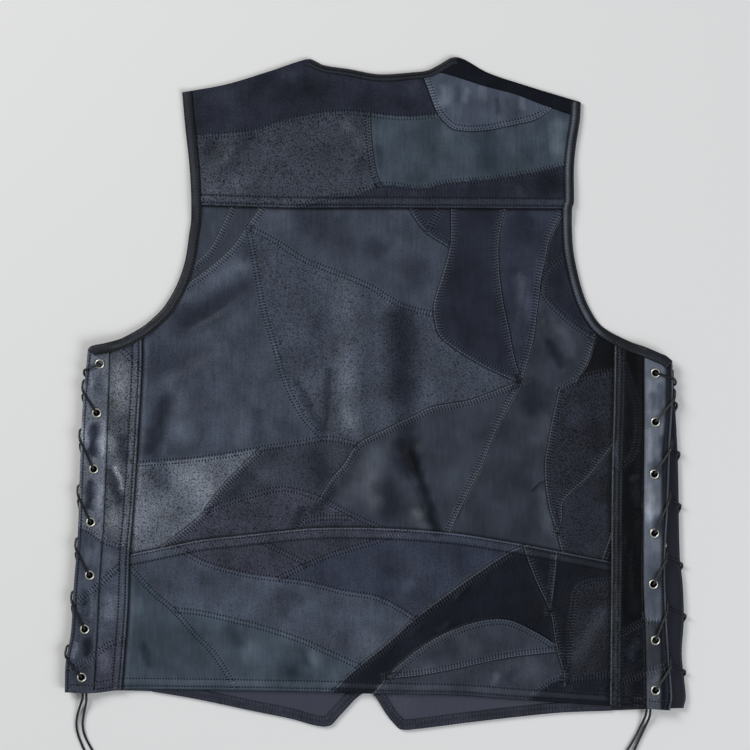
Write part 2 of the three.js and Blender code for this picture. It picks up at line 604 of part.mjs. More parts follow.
for (const [side, sign, eyelets, stripTop] of [
  ['left', -1, EYELETS_LEFT, underarm.left], ['right', 1, EYELETS_RIGHT, underarm.right]]) {
  const frontEyelets = eyelets.map(({ x, y }, k) => ({
    x: x + sign * FRONT_EYELET_OUT[side],
    y: y - (k + 1 < eyelets.length ? FRONT_EYELET_DOWN.above : FRONT_EYELET_DOWN.last),
  }));
  const across = (outer, inner) => (sign < 0 ? { left: outer, right: inner } : { left: inner, right: outer });
  addPanel(`back_side_${side}`, {
    ...across(shifted(stripSeam[side], -sign * SEAM_GAP / 2), princess[side]),
    top: stripTop,
    bottom: hem,
    columns: 5,
    rows: 16,
  }, sideLevel, COLOURS.side);
  const backStrip = wall(panelPlan({
    ...across(edge[side], shifted(stripSeam[side], sign * SEAM_GAP / 2)),
    top: stripTop,
    bottom: hem,
    columns: 3,
    rows: 14,
  }), sideLevel, LEATHER);
  add(`back_lace_strip_${side}`, punched(backStrip, eyelets, sideLevel), COLOURS.strip);
  const frontStrip = wall(panelPlan({
    ...across(frontEdge[side], shifted(frontSide(side), sign * SEAM_GAP)),
    top: shifted(stripTop, -FRONT_ARMHOLE_INSET),
    bottom: upwards(sign < 0 ? FRONT_HEM_LEFT : FRONT_HEM_RIGHT),
    columns: 5,
    rows: 12,
  }), frontLevel, LEATHER);
  add(`front_side_${side}`, punched(frontStrip, frontEyelets, frontLevel), COLOURS.front);
  eyelets.forEach(({ x, y }, k) => {
    const ring = geometryOf(solidOf(eyeletRing.clone().translate(x, y, sideLevel(x, y))));
    add(`eyelet_back_${side}_${k + 1}`, ring, COLOURS.eyelet, METAL_ROUGHNESS, 1);
  });
  frontEyelets.forEach(({ x, y }, k) => {
    const ring = geometryOf(solidOf(eyeletRing.clone().translate(x, y, frontLevel(x, y))));
    add(`eyelet_front_${side}_${k + 1}`, ring, COLOURS.eyelet, METAL_ROUGHNESS, 1);
  });
  const path = lacePath(side, sign, eyelets, frontEyelets);
  add(`lace_${side}`, tube(path, path.stations.length - 1, LACE, LACE_SIDES), COLOURS.lace);
}

// The four free ends, each with its knot, lying on the surface below the hem
for (const [name, rows] of Object.entries(FREE_ENDS)) {
  const path = new THREE.CatmullRomCurve3(rows.map(({ x, y, z }) => new THREE.Vector3(x, y, z)), false, 'centripetal');
  const steps = Math.round(path.getLength() / CORD_STEP);
  add(`lace_end_${name}`, tube(path, steps, LACE, CORD_SIDES), COLOURS.lace);
  const along = path.getTangentAt(1);
  const centre = path.getPointAt(1).addScaledVector(along, KNOT / 2 + SEAM_GAP);
  const knot = new THREE.SphereGeometry(KNOT / 2, CORD_SIDES, KNOT_ROWS);
  knot.translate(centre.x, centre.y, KNOT / 2);
  add(`lace_knot_${name}`, geometryOf(solidOf(knot)), COLOURS.lace);
}

export default vest;
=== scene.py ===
import math

import bpy
import numpy as np
from mathutils.kdtree import KDTree
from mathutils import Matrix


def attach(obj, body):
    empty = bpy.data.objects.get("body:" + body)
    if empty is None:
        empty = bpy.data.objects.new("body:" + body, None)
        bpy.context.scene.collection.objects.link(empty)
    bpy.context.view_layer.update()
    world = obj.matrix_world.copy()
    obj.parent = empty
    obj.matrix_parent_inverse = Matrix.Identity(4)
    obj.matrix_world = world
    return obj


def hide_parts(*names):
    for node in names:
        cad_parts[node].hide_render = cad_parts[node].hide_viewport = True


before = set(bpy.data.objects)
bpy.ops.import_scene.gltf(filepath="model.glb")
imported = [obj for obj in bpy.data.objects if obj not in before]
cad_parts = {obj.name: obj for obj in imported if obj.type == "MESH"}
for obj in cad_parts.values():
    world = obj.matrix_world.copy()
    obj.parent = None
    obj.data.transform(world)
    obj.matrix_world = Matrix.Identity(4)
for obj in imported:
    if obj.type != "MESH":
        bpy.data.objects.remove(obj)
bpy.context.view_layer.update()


# The board that the vest is laid on, plain and pale, lit by two big soft lamps and a dim sky,
# and seen from straight above through a long lens that frames 750 mm of it.
VIEW_MIDDLE = (-0.0008, 0.0185)
VIEW_WIDTH = 0.750
SENSOR = 36
LENS = 150
LAMPS = [
    ("lamp_upper_left", (-2.3, 2.0, 2.4), 1.8, 108, (1.0, 0.985, 0.96)),
    ("lamp_lower_right", (2.3, -1.7, 2.7), 2.2, 84, (0.95, 0.975, 1.0)),
]


def principled(name, colour, roughness):
    material = bpy.data.materials.new(name)
    material.use_nodes = True
    shader = material.node_tree.nodes["Principled BSDF"]
    shader.inputs["Base Color"].default_value = (*colour, 1)
    shader.inputs["Roughness"].default_value = roughness
    return material, material.node_tree, shader


def linear(colour):
    """The shader's colour for a swatch given as 0 to 255."""
    return tuple((c / 255 / 12.92) if c < 10.3 else ((c / 255 + 0.055) / 1.055) ** 2.4 for c in colour)


camera = bpy.data.objects.new("camera", bpy.data.cameras.new("camera"))
camera.data.sensor_width = SENSOR
camera.data.lens = LENS
camera.location = (*VIEW_MIDDLE, VIEW_WIDTH * LENS / SENSOR + 0.006)
bpy.context.collection.objects.link(camera)
bpy.context.scene.camera = camera

board_mesh = bpy.data.meshes.new("board")
board_corners = [(x, y, -0.0004) for x, y in ((-4, -4), (4, -4), (4, 4), (-4, 4))]
board_mesh.from_pydata(board_corners, [], [(0, 1, 2, 3)])
board = bpy.data.objects.new("board", board_mesh)
bpy.context.collection.objects.link(board)
board_paint, _, board_shader = principled("board_paint", linear((222, 222, 222)), 0.9)
board_shader.inputs["Specular IOR Level"].default_value = 0.1
board_mesh.materials.append(board_paint)

sky = bpy.data.worlds.new("sky")
bpy.context.scene.world = sky
sky.use_nodes = True
bpy.context.scene.view_settings.view_transform = "Standard"
sky.node_tree.nodes["Background"].inputs["Color"].default_value = (0.93, 0.96, 1.0, 1)
sky.node_tree.nodes["Background"].inputs["Strength"].default_value = 0.22
for name, place, size, power, colour in LAMPS:
    lamp = bpy.data.objects.new(name, bpy.data.lights.new(name, "AREA"))
    lamp.data.size = size
    lamp.data.energy = power
    lamp.data.color = colour
    lamp.location = place
    lamp.rotation_euler = (-lamp.location).to_track_quat("-Z", "Y").to_euler()
    bpy.context.collection.objects.link(lamp)


# The four free ends of the side laces: round waxed cord, each tied in a small knot,
# lying loose on the board below the hem.
MIDDLE = np.array([1.8, 0.5, 0.0])
MM = 0.001
LACE = 2.4
KNOT = 5.4
KNOT_LOOP = 0.088 * KNOT
KNOT_RISE = 0.168 * KNOT
KNOT_STRAND = 0.36 * LACE
FREE_ENDS = {
    "left_outer": [
        (-291.1, -300.9, 6.8), (-291.6, -305, 5.8), (-293.4, -310, 4), (-295.4, -316, 2.3),
        (-297.2, -323, 1.5), (-298, -330, 1.35), (-297.4, -337, 1.35), (-295.4, -344, 1.35),
        (-292.6, -351, 1.35), (-289.6, -358, 1.35), (-286.9, -366, 1.35), (-285, -374, 1.35),
        (-284, -382, 1.35), (-284, -390, 1.35), (-285, -398, 1.35), (-286.8, -405, 1.35)],
    "left_inner": [
        (-287.7, -300.9, 6.2), (-287.7, -305, 5.4), (-288.3, -310, 3.8), (-289.6, -316, 2.2),
        (-291, -323, 1.4), (-291.8, -330, 1.35), (-291, -337, 1.35), (-288.8, -344, 1.35),
        (-285.6, -350.5, 1.35), (-282, -357, 1.35), (-278.6, -364, 1.35), (-276, -371, 1.35),
        (-274.4, -379, 1.35), (-274, -387, 1.35), (-274.6, -394, 1.35)],
    "right_outer": [
        (276.3, -316.9, 6.6), (275.9, -321, 5.7), (274.6, -326, 3.8), (272, -332, 2.1),
        (269, -339, 1.4), (265.6, -346, 1.35), (262.4, -353, 1.35), (259.6, -360, 1.35),
        (257.4, -367, 1.35), (256, -375, 1.35), (255.6, -383, 1.35), (256.2, -391, 1.35),
        (257.8, -399, 1.35), (260.2, -406, 1.35), (263, -412, 1.35)],
    "right_inner": [
        (272.5, -316.9, 6.2), (271.8, -321, 5.3), (270, -326, 3.6), (267.2, -332, 1.9),
        (264, -339, 1.35), (260.2, -346, 1.35), (256, -353, 1.35), (251.8, -360, 1.35),
        (248, -367, 1.35), (244.9, -374, 1.35), (242.8, -382, 1.35), (242, -390, 1.35),
        (242.4, -398, 1.35), (244, -405, 1.35)],
}


def curve(points, step):
    """A smooth line through points, as points about one step apart."""
    points = np.array(points, float)
    padded = np.vstack([2 * points[0] - points[1], points, 2 * points[-1] - points[-2]])
    fine = []
    for a, b, c, d in zip(padded, padded[1:], padded[2:], padded[3:]):
        t = np.linspace(0, 1, 24, endpoint=False)[:, None]
        fine.append(0.5 * (2 * b + (c - a) * t + (2 * a - 5 * b + 4 * c - d) * t**2
                           + (3 * b - a - 3 * c + d) * t**3))
    fine = np.vstack([*fine, points[-1:]])
    return evenly(fine, step)


LINE_STEP = 1.5


def run_of(points):
    """How far along a line each of its points lies."""
    return np.concatenate([[0], np.cumsum(np.linalg.norm(np.diff(points, axis=0), axis=1))])


def evenly(points, step):
    """The same line with its points an even distance apart."""
    run = run_of(points)
    at = np.linspace(0, run[-1], max(2, round(run[-1] / step) + 1))
    return np.stack([np.interp(at, run, column) for column in points.T], axis=1)


def piece(name, points, faces, material, body="root"):
    """A mesh in millimetres of the pattern table, made an object of the vest."""
    mesh = bpy.data.meshes.new(name)
    mesh.from_pydata(((np.asarray(points, float) - MIDDLE) * MM).tolist(), [], faces)
    mesh.shade_smooth()
    mesh.materials.append(material)
    made = bpy.data.objects.new(name, mesh)
    bpy.context.collection.objects.link(made)
    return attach(made, body)


def tube(points, radius, sides):
    """Vertices and faces of a closed tube along points, its section turned as little as it can be."""
    points = np.array(points, float)
    along = np.gradient(points, axis=0)
    along /= np.linalg.norm(along, axis=1)[:, None]
    across = np.cross(along[0], (0.3, 0.2, 1))
    rings = []
    turn = np.linspace(0, 2 * math.pi, sides, endpoint=False)[:, None]
    for centre, tangent in zip(points, along):
        across = across - tangent * across.dot(tangent)
        across /= np.linalg.norm(across)
        rings.append(centre + radius * (np.cos(turn) * across + np.sin(turn) * np.cross(tangent, across)))
    faces = [[r * sides + i, r * sides + (i + 1) % sides, (r + 1) * sides + (i + 1) % sides,
              (r + 1) * sides + i] for r in range(len(points) - 1) for i in range(sides)]
    faces.append(list(range(sides))[::-1])
    faces.append([(len(points) - 1) * sides + i for i in range(sides)])
    return np.vstack(rings), faces


def wire(tree, source, target):
    """Feeds a socket from another one, or sets it to a plain value."""
    if isinstance(source, bpy.types.NodeSocket):
        tree.links.new(source, target)
    else:
        target.default_value = source


def place_on(tree):
    return tree.nodes.new("ShaderNodeTexCoord").outputs["Object"]


def noise(tree, place, scale, detail=2.0):
    node = tree.nodes.new("ShaderNodeTexNoise")
    node.inputs["Scale"].default_value = scale
    node.inputs["Detail"].default_value = detail
    wire(tree, place, node.inputs["Vector"])
    return node.outputs["Fac"]


def bumped(tree, shader, height, distance, strength):
    """Makes a surface rough by a height that is worked out at each place."""
    bump = tree.nodes.new("ShaderNodeBump")
    bump.inputs["Distance"].default_value = distance
    bump.inputs["Strength"].default_value = strength
    wire(tree, height, bump.inputs["Height"])
    wire(tree, bump.outputs["Normal"], shader.inputs["Normal"])


WEAVE_SCALE = 1600
cord_wax, cord_tree, cord_shader = principled("waxed_cord", linear((14, 16, 24)), 0.45)
cord_shader.inputs["Specular IOR Level"].default_value = 0.4
bumped(cord_tree, cord_shader, noise(cord_tree, place_on(cord_tree), WEAVE_SCALE), 0.0003, 0.5)


def knot_points(centre, along):
    """The line of a tied knot about its centre, drawn along the cord."""
    turn = np.linspace(0, 2 * math.pi, 41)
    side = np.array([-along[1], along[0], 0])
    out = (np.sin(turn) + 2 * np.sin(2 * turn)) * KNOT_LOOP
    forth = (np.cos(turn) - 2 * np.cos(2 * turn)) * KNOT_LOOP
    rise = -np.sin(3 * turn) * KNOT_RISE
    return centre + out[:, None] * side + forth[:, None] * along + rise[:, None] * np.array([0, 0, 1])


for name, points in FREE_ENDS.items():
    route = curve(points, 1.2)
    end = piece(f"cord_end_{name}", *tube(route, LACE / 2, 14), cord_wax)
    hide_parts(f"lace_end_{name}")
    along = route[-1] - route[-2]
    along[2] = 0
    along /= np.linalg.norm(along)
    centre = route[-1] + along * (KNOT / 2 + 0.1)
    centre[2] = KNOT / 2
    knot = piece(f"cord_knot_{name}", *tube(knot_points(centre, along), KNOT_STRAND, 10), cord_wax)
    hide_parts(f"lace_knot_{name}")


# The two fronts, plain black hide with the dark cloth of the inside up, lie under the back,
# the right one over the left one. Their pointed hems show below the back.
LEATHER = 1.4
SEAM_GAP = 0.3
LAYER = LEATHER + SEAM_GAP


def table(columns, rows):
    """Columns of numbers by name."""
    return dict(zip(columns.split(), np.array(rows, float).T))


def ease(t):
    t = np.clip(t, 0, 1)
    return t * t * (3 - 2 * t)


def up_to(at, limit, slope):
    """1 well below a limit, sloping down to 0 at it."""
    return ease((limit - at) / slope)


def line(rows, key, value):
    """A smooth line through a table, read one way, held level past its ends."""
    order = np.argsort(rows[key])
    keys = rows[key][order]
    values = rows[value][order]
    before = np.maximum(np.arange(len(keys)) - 1, 0)
    after = np.minimum(np.arange(len(keys)) + 1, len(keys) - 1)
    slope = (values[after] - values[before]) / (keys[after] - keys[before])

    def read(at):
        at = np.clip(at, keys[0], keys[-1])
        i = np.clip(np.searchsorted(keys, at, side="right") - 1, 0, len(keys) - 2)
        span = keys[i + 1] - keys[i]
        t = (at - keys[i]) / span
        bend = span * t * (1 - t) * (slope[i] * (1 - t) - slope[i + 1] * t)
        return values[i] + (values[i + 1] - values[i]) * t * t * (3 - 2 * t) + bend
    return read


def sideways(rows):
    return line(rows, "y", "x")


def upwards(rows):
    return line(rows, "x", "y")


def shifted(edge, by):
    return lambda at: edge(at) + by


top_rows = table("x y", [
    (-192, 302), (-148, 310), (-105, 323), (-72, 334), (-63, 335), (-50, 329), (-24, 325), (5, 320),
    (40, 322), (54, 324), (66, 330), (76, 336), (83, 337), (92, 334), (113, 322), (148, 310), (207, 292)])
armhole_rows = {
    "left": table("x y", [
        (-192, 302), (-189, 268), (-185, 232), (-183, 201), (-183, 175), (-185, 160), (-189, 134),
        (-197, 110), (-209, 89), (-220, 77), (-232, 67)]),
    "right": table("x y", [
        (207, 292), (206, 274), (202, 248), (200, 224), (200, 193), (198, 183), (199, 148),
        (204, 120), (211, 96), (220, 78), (228, 68), (240, 60)]),
}
front_edge_rows = {
    "left": table("x y", [
        (-286, 36), (-290.5, -10), (-293.5, -80), (-295.5, -141), (-302.5, -240), (-308, -294)]),
    "right": table("x y", [
        (300, 11), (304, -66), (306, -163), (309, -192), (310, -226), (308, -261), (312, -303), (310, -313)]),
}
front_hem_rows = {
    "left": table("x y", [
        (-309, -297), (-218, -298), (-180, -305), (-123, -317), (-84, -325), (-58, -332), (-44, -332)]),
    "right": table("x y", [
        (26, -336), (47, -335), (94, -329), (146, -323), (188, -319), (235, -317), (312, -314)]),
}
opening_rows = {
    "left": table("x y", [
        (-66, 328), (-40, 262), (-15, 200), (6, 150), (11, 110), (11, -282), (-5, -297), (-16, -303),
        (-34, -322), (-44, -333)]),
    "right": table("x y", [
        (86, 330), (62, 262), (36, 200), (4, 150), (-11, 110), (-11, -288), (0, -301), (12, -320),
        (20, -330), (26, -336)]),
}
ARMHOLE_FOOT = {"left": 67, "right": 60}
FRONT_ARMHOLE_INSET = 9
FRONT_SEAM = {"left": (-223, 0.05, 9), "right": (231, -0.015, -9)}
FRONT_STRIP_LIFT = 3.4
FRONT_LIFT_START = 38
LIFT_END = 20
FRONT_OVERLAP = (46, 30)
FRONT_NOTCH = (332, 26)
FRONT_CHEST = (200, 40)

top_edge = upwards(top_rows)
armhole = {side: sideways(rows) for side, rows in armhole_rows.items()}
front_edge = {side: sideways(rows) for side, rows in front_edge_rows.items()}
front_hem = {side: upwards(rows) for side, rows in front_hem_rows.items()}


def side_rise(edges, start, x, y):
    """How far the layers rise towards the laced edges, 0 in the middle and 1 at the eyelets."""
    inside = np.minimum(x - edges["left"](y), edges["right"](y) - x)
    return ease((start - inside) / (start - LIFT_END))


def front_level(x, y):
    return FRONT_STRIP_LIFT * side_rise(front_edge, FRONT_LIFT_START, x, y)


def upper_front_level(x, y):
    overlap = up_to(x, *FRONT_OVERLAP) * up_to(-y, *FRONT_NOTCH) * up_to(y, *FRONT_CHEST)
    return front_level(x, y) + (LAYER + 0.1) * overlap


def front_side(side):
    top, slope, inset = FRONT_SEAM[side]
    foot = ARMHOLE_FOOT[side]
    return lambda y: np.where(y > foot, armhole[side](y) + inset, top + (y - foot) * slope)


def spread(length, pitch, near_start=0.0, near_end=0.0, fine=0.6):
    """Places from 0 to 1 along a length, one pitch apart, closer together near an end that needs it."""
    places = np.linspace(0, length, 20 * max(2, int(length / fine)))
    close = (places < near_start) | (places > length - near_end)
    count = np.concatenate([[0], np.cumsum(np.diff(places) / np.where(close, fine, pitch)[1:])])
    even = np.linspace(0, count[-1], max(2, round(count[-1])) + 1)
    return np.interp(even, count, places) / length


def plan_grid(left, right, top, bottom, across, down):
    """Plan points of a panel between its four cut lines, as x and y with a row for each place down."""
    def corner(side, end):
        y = end(side(0.0))
        for _ in range(12):
            y = end(side(y))
        return side(y), y
    (tlx, tly), (trx, try_), (blx, bly), (brx, bry) = (
        corner(left, top), corner(right, top), corner(left, bottom), corner(right, bottom))
    u = across[None, :]
    v = down[:, None]
    yl = tly + (bly - tly) * v
    yr = try_ + (bry - try_) * v
    xt = tlx + (trx - tlx) * u
    xb = blx + (brx - blx) * u
    x = left(yl) * (1 - u) + right(yr) * u + (xt * (1 - v) + xb * v) - (
        (tlx * (1 - u) + trx * u) * (1 - v) + (blx * (1 - u) + brx * u) * v)
    y = yl * (1 - u) + yr * u + top(xt) * (1 - v) + bottom(xb) * v - (
        (tly * (1 - u) + try_ * u) * (1 - v) + (bly * (1 - u) + bry * u) * v)
    return x, y


UNDER_STEP = 4
THINNEST = 0.3


def coarse(count):
    """Every fourth place of a row of count places, its last one too."""
    kept = list(range(0, count - 1, UNDER_STEP))
    if count - 1 - kept[-1] < UNDER_STEP / 2 and len(kept) > 1:
        kept.pop()
    return kept + [count - 1]


def shell(x, y, upper, under):
    """A closed wall: a fine upper sheet, a rim, and an underside of every fourth point."""
    down, across = x.shape
    upper_id = np.arange(down * across).reshape(down, across)
    points = [np.stack([x, y, upper], axis=-1).reshape(-1, 3)]
    under_id = np.full((down, across), -1)
    rows, columns = coarse(down), coarse(across)
    wanted = np.zeros((down, across), bool)
    wanted[np.ix_(rows, columns)] = True
    wanted[[0, -1], :] = True
    wanted[:, [0, -1]] = True
    under_id[wanted] = down * across + np.arange(wanted.sum())
    points.append(np.stack([x, y, under], axis=-1)[wanted])
    turned = (x[0, -1] - x[0, 0]) * (y[-1, 0] - y[0, 0]) - (y[0, -1] - y[0, 0]) * (x[-1, 0] - x[0, 0]) > 0
    a, b, c, d = upper_id[:-1, :-1], upper_id[1:, :-1], upper_id[1:, 1:], upper_id[:-1, 1:]
    upper_faces = np.stack([a, b, c, d], axis=-1).reshape(-1, 4).tolist()
    around = ([(0, c) for c in range(across)] + [(r, across - 1) for r in range(1, down)]
              + [(down - 1, c) for c in range(across - 2, -1, -1)] + [(r, 0) for r in range(down - 2, 0, -1)])
    rim_faces = []
    for here, there in zip(around, around[1:] + around[:1]):
        rim_faces.append([upper_id[here], upper_id[there], under_id[there], under_id[here]])
    under_faces = []
    for r0, r1 in zip(rows, rows[1:]):
        for c0, c1 in zip(columns, columns[1:]):
            top = [under_id[r0, c] for c in range(c0, c1 + 1)]
            right = [under_id[r, c1] for r in range(r0, r1 + 1)]
            bottom = [under_id[r1, c] for c in range(c1, c0 - 1, -1)]
            left = [under_id[r, c0] for r in range(r1, r0 - 1, -1)]
            loop = [i for side in (top, right, bottom, left) for i in side[:-1] if i >= 0]
            under_faces.append(loop)
    faces = upper_faces + rim_faces + under_faces
    if turned:
        faces = [face[::-1] for face in faces]
    marks = np.array([0] * len(upper_faces) + [1] * (len(rim_faces) + len(under_faces)))
    return np.vstack(points), faces, marks


def paint(made, name, kind, values, upper_count, below):
    """Keeps one value for each point of the upper sheet, and the same one all over the underside."""
    layer = made.data.attributes.new(name, kind, "POINT")
    width = {"FLOAT": 1, "FLOAT_VECTOR": 3, "FLOAT_COLOR": 4}[kind]
    full = np.tile(np.array(below, float).reshape(1, width), (len(made.data.vertices), 1))
    full[:upper_count] = np.asarray(values, float).reshape(-1, width)
    layer.data.foreach_set({1: "value", 3: "vector", 4: "color"}[width], full.ravel().astype(np.float32))


def panel(name, grid, upper, under, materials, node):
    """One cut piece of the vest, laid, that stands for its solid."""
    x, y = grid
    points, faces, marks = shell(x, y, np.maximum(upper, under + THINNEST), under)
    made = piece(name, points, faces, materials[0])
    for material in materials[1:]:
        made.data.materials.append(material)
    if len(materials) > 1:
        made.data.polygons.foreach_set("material_index", marks)
    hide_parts(node)
    return made


def laid(long=None):
    """Takes the length in mm of a strip cut before it was laid, and does nothing with it."""
    if long:
        return


def maths(tree, operation, *values):
    node = tree.nodes.new("ShaderNodeMath")
    node.operation = operation
    for socket, value in zip(node.inputs, values):
        wire(tree, value, socket)
    return node.outputs[0]


def chained(operation):
    """A sum or a product of any number of values, worked from left to right."""
    def worked(tree, first, *others):
        for value in others:
            first = maths(tree, operation, first, value)
        return first
    return worked


plus = chained("ADD")
times = chained("MULTIPLY")


def read_paint(tree, name, output="Fac"):
    node = tree.nodes.new("ShaderNodeAttribute")
    node.attribute_name = name
    return node.outputs[output]


def blotches(tree, place, scale, detail, much, base):
    """Noise that rises by so much above a base."""
    return plus(tree, times(tree, noise(tree, place, scale, detail), much), base)


def bell(tree, value, width):
    """1 where the value is 0, falling away on both sides."""
    share = maths(tree, "DIVIDE", value, width)
    return maths(tree, "EXPONENT", times(tree, share, share, -1.0))


lining, lining_tree, lining_shader = principled("inside_cloth", linear((44, 47, 64)), 0.5)
lining_shader.inputs["Sheen Weight"].default_value = 0.15
bumped(lining_tree, lining_shader, noise(lining_tree, place_on(lining_tree), 240, 4), 0.0006, 0.6)

for side in ("left", "right"):
    outer = front_side(side)
    opening = sideways(opening_rows[side])
    level = front_level if side == "left" else upper_front_level
    left, right = (outer, opening) if side == "left" else (opening, outer)
    grid = plan_grid(left, right, shifted(top_edge, -4), front_hem[side],
                     spread(250, 4, 6, 6, 1.5), spread(640, 4, 6, 14, 1.5))
    under = level(*grid)
    front = panel(f"leather_front_{side}", grid, under + LEATHER, under, [lining], f"front_{side}")
    laid()

# The back body, pieced from offcuts of hide in several dyes and grains. Each offcut laps
# over the next with a raw edge and is held by two rows of sewing, which pucker the hide.
BACK_STRIP_LIFT = 6.9
BACK_LIFT_START = 46
FACING_WALL = 0.8
SEAM_LAP = 10
STITCH_PITCH = 3.0
PLAIN_ROWS = (-2.2, 2.2)
LAP_ROWS = (1.4, 5.0)
DYES = {
    "slate": (56, 62, 74), "teal": (51, 60, 70), "plum": (53, 55, 68), "ink": (33, 37, 49),
    "soot": (9, 13, 22), "mist": (88, 94, 105),
}
edge_rows = {
    "left": table("x y", [
        (-286, 44), (-291, -10), (-294, -80), (-296, -141), (-300, -192), (-303, -240), (-308, -267),
        (-309, -298)]),
    "right": table("x y", [
        (298, 33), (299, 4), (296, -52), (294, -108), (291, -170), (292, -214), (295, -265), (298, -302),
        (296, -315)]),
}
princess_rows = {
    "left": table("x y", [
        (-232, 67), (-232, 30), (-236, -46), (-241, -122), (-244, -158), (-246, -214), (-252, -295)]),
    "right": table("x y", [(241, 60), (240, -10), (238, -80), (237, -214), (236, -312)]),
}
yoke_rows = table("x y", [(-183, 189), (-79, 186), (26, 186), (199, 185)])
band_rows = table("x y", [
    (-252, -162), (-213, -154), (-174, -146), (-129, -141), (-93, -137), (-58, -134), (6, -134),
    (78, -139), (142, -149), (189, -158), (246, -169)])
folds = table("x0 y0 x1 y1 wide high", [
    (-14, -72, -14, -98, 34, 4.0), (20, -58, 38, -112, 17, 3.0), (52, -60, 76, -112, 19, 3.2),
    (-24, 104, -24, -46, 18, 2.0), (-147, 39, -197, 8, 18, 2.0), (152, 112, 152, 62, 16, 1.8),
    (172, 66, 206, 16, 15, 1.8), (-65, -266, -48, -262, 26, 2.4), (86, -248, 124, -260, 22, 2.2),
    (198, -264, 214, -226, 16, 2.0), (-139, 255, -155, 222, 16, 1.8), (88, 300, 92, 262, 15, 1.2),
    (112, 300, 112, 262, 15, 1.2), (136, 292, 131, 258, 15, 1.2)])
creases = table("x0 y0 x1 y1 wide high", [
    (-72, -2, -52, -40, 8, -0.9), (-42, -2, -50, -38, 7, -0.8), (37, -74, 63, -133, 8, -1.5),
    (-223, -18, -214, -50, 14, -1.2), (-134, 108, -182, 72, 15, -1.2), (24, 62, 26, -14, 13, -1.3),
    (172, 72, 187, 24, 6, 0.9), (186, 66, 202, 30, 6, -0.9), (-84, -118, -70, -128, 8, -0.7),
    (60, 250, 58, 222, 12, 0.5), (150, 108, 148, 70, 7, 0.7), (-150, 78, -186, 60, 10, 0.7)])
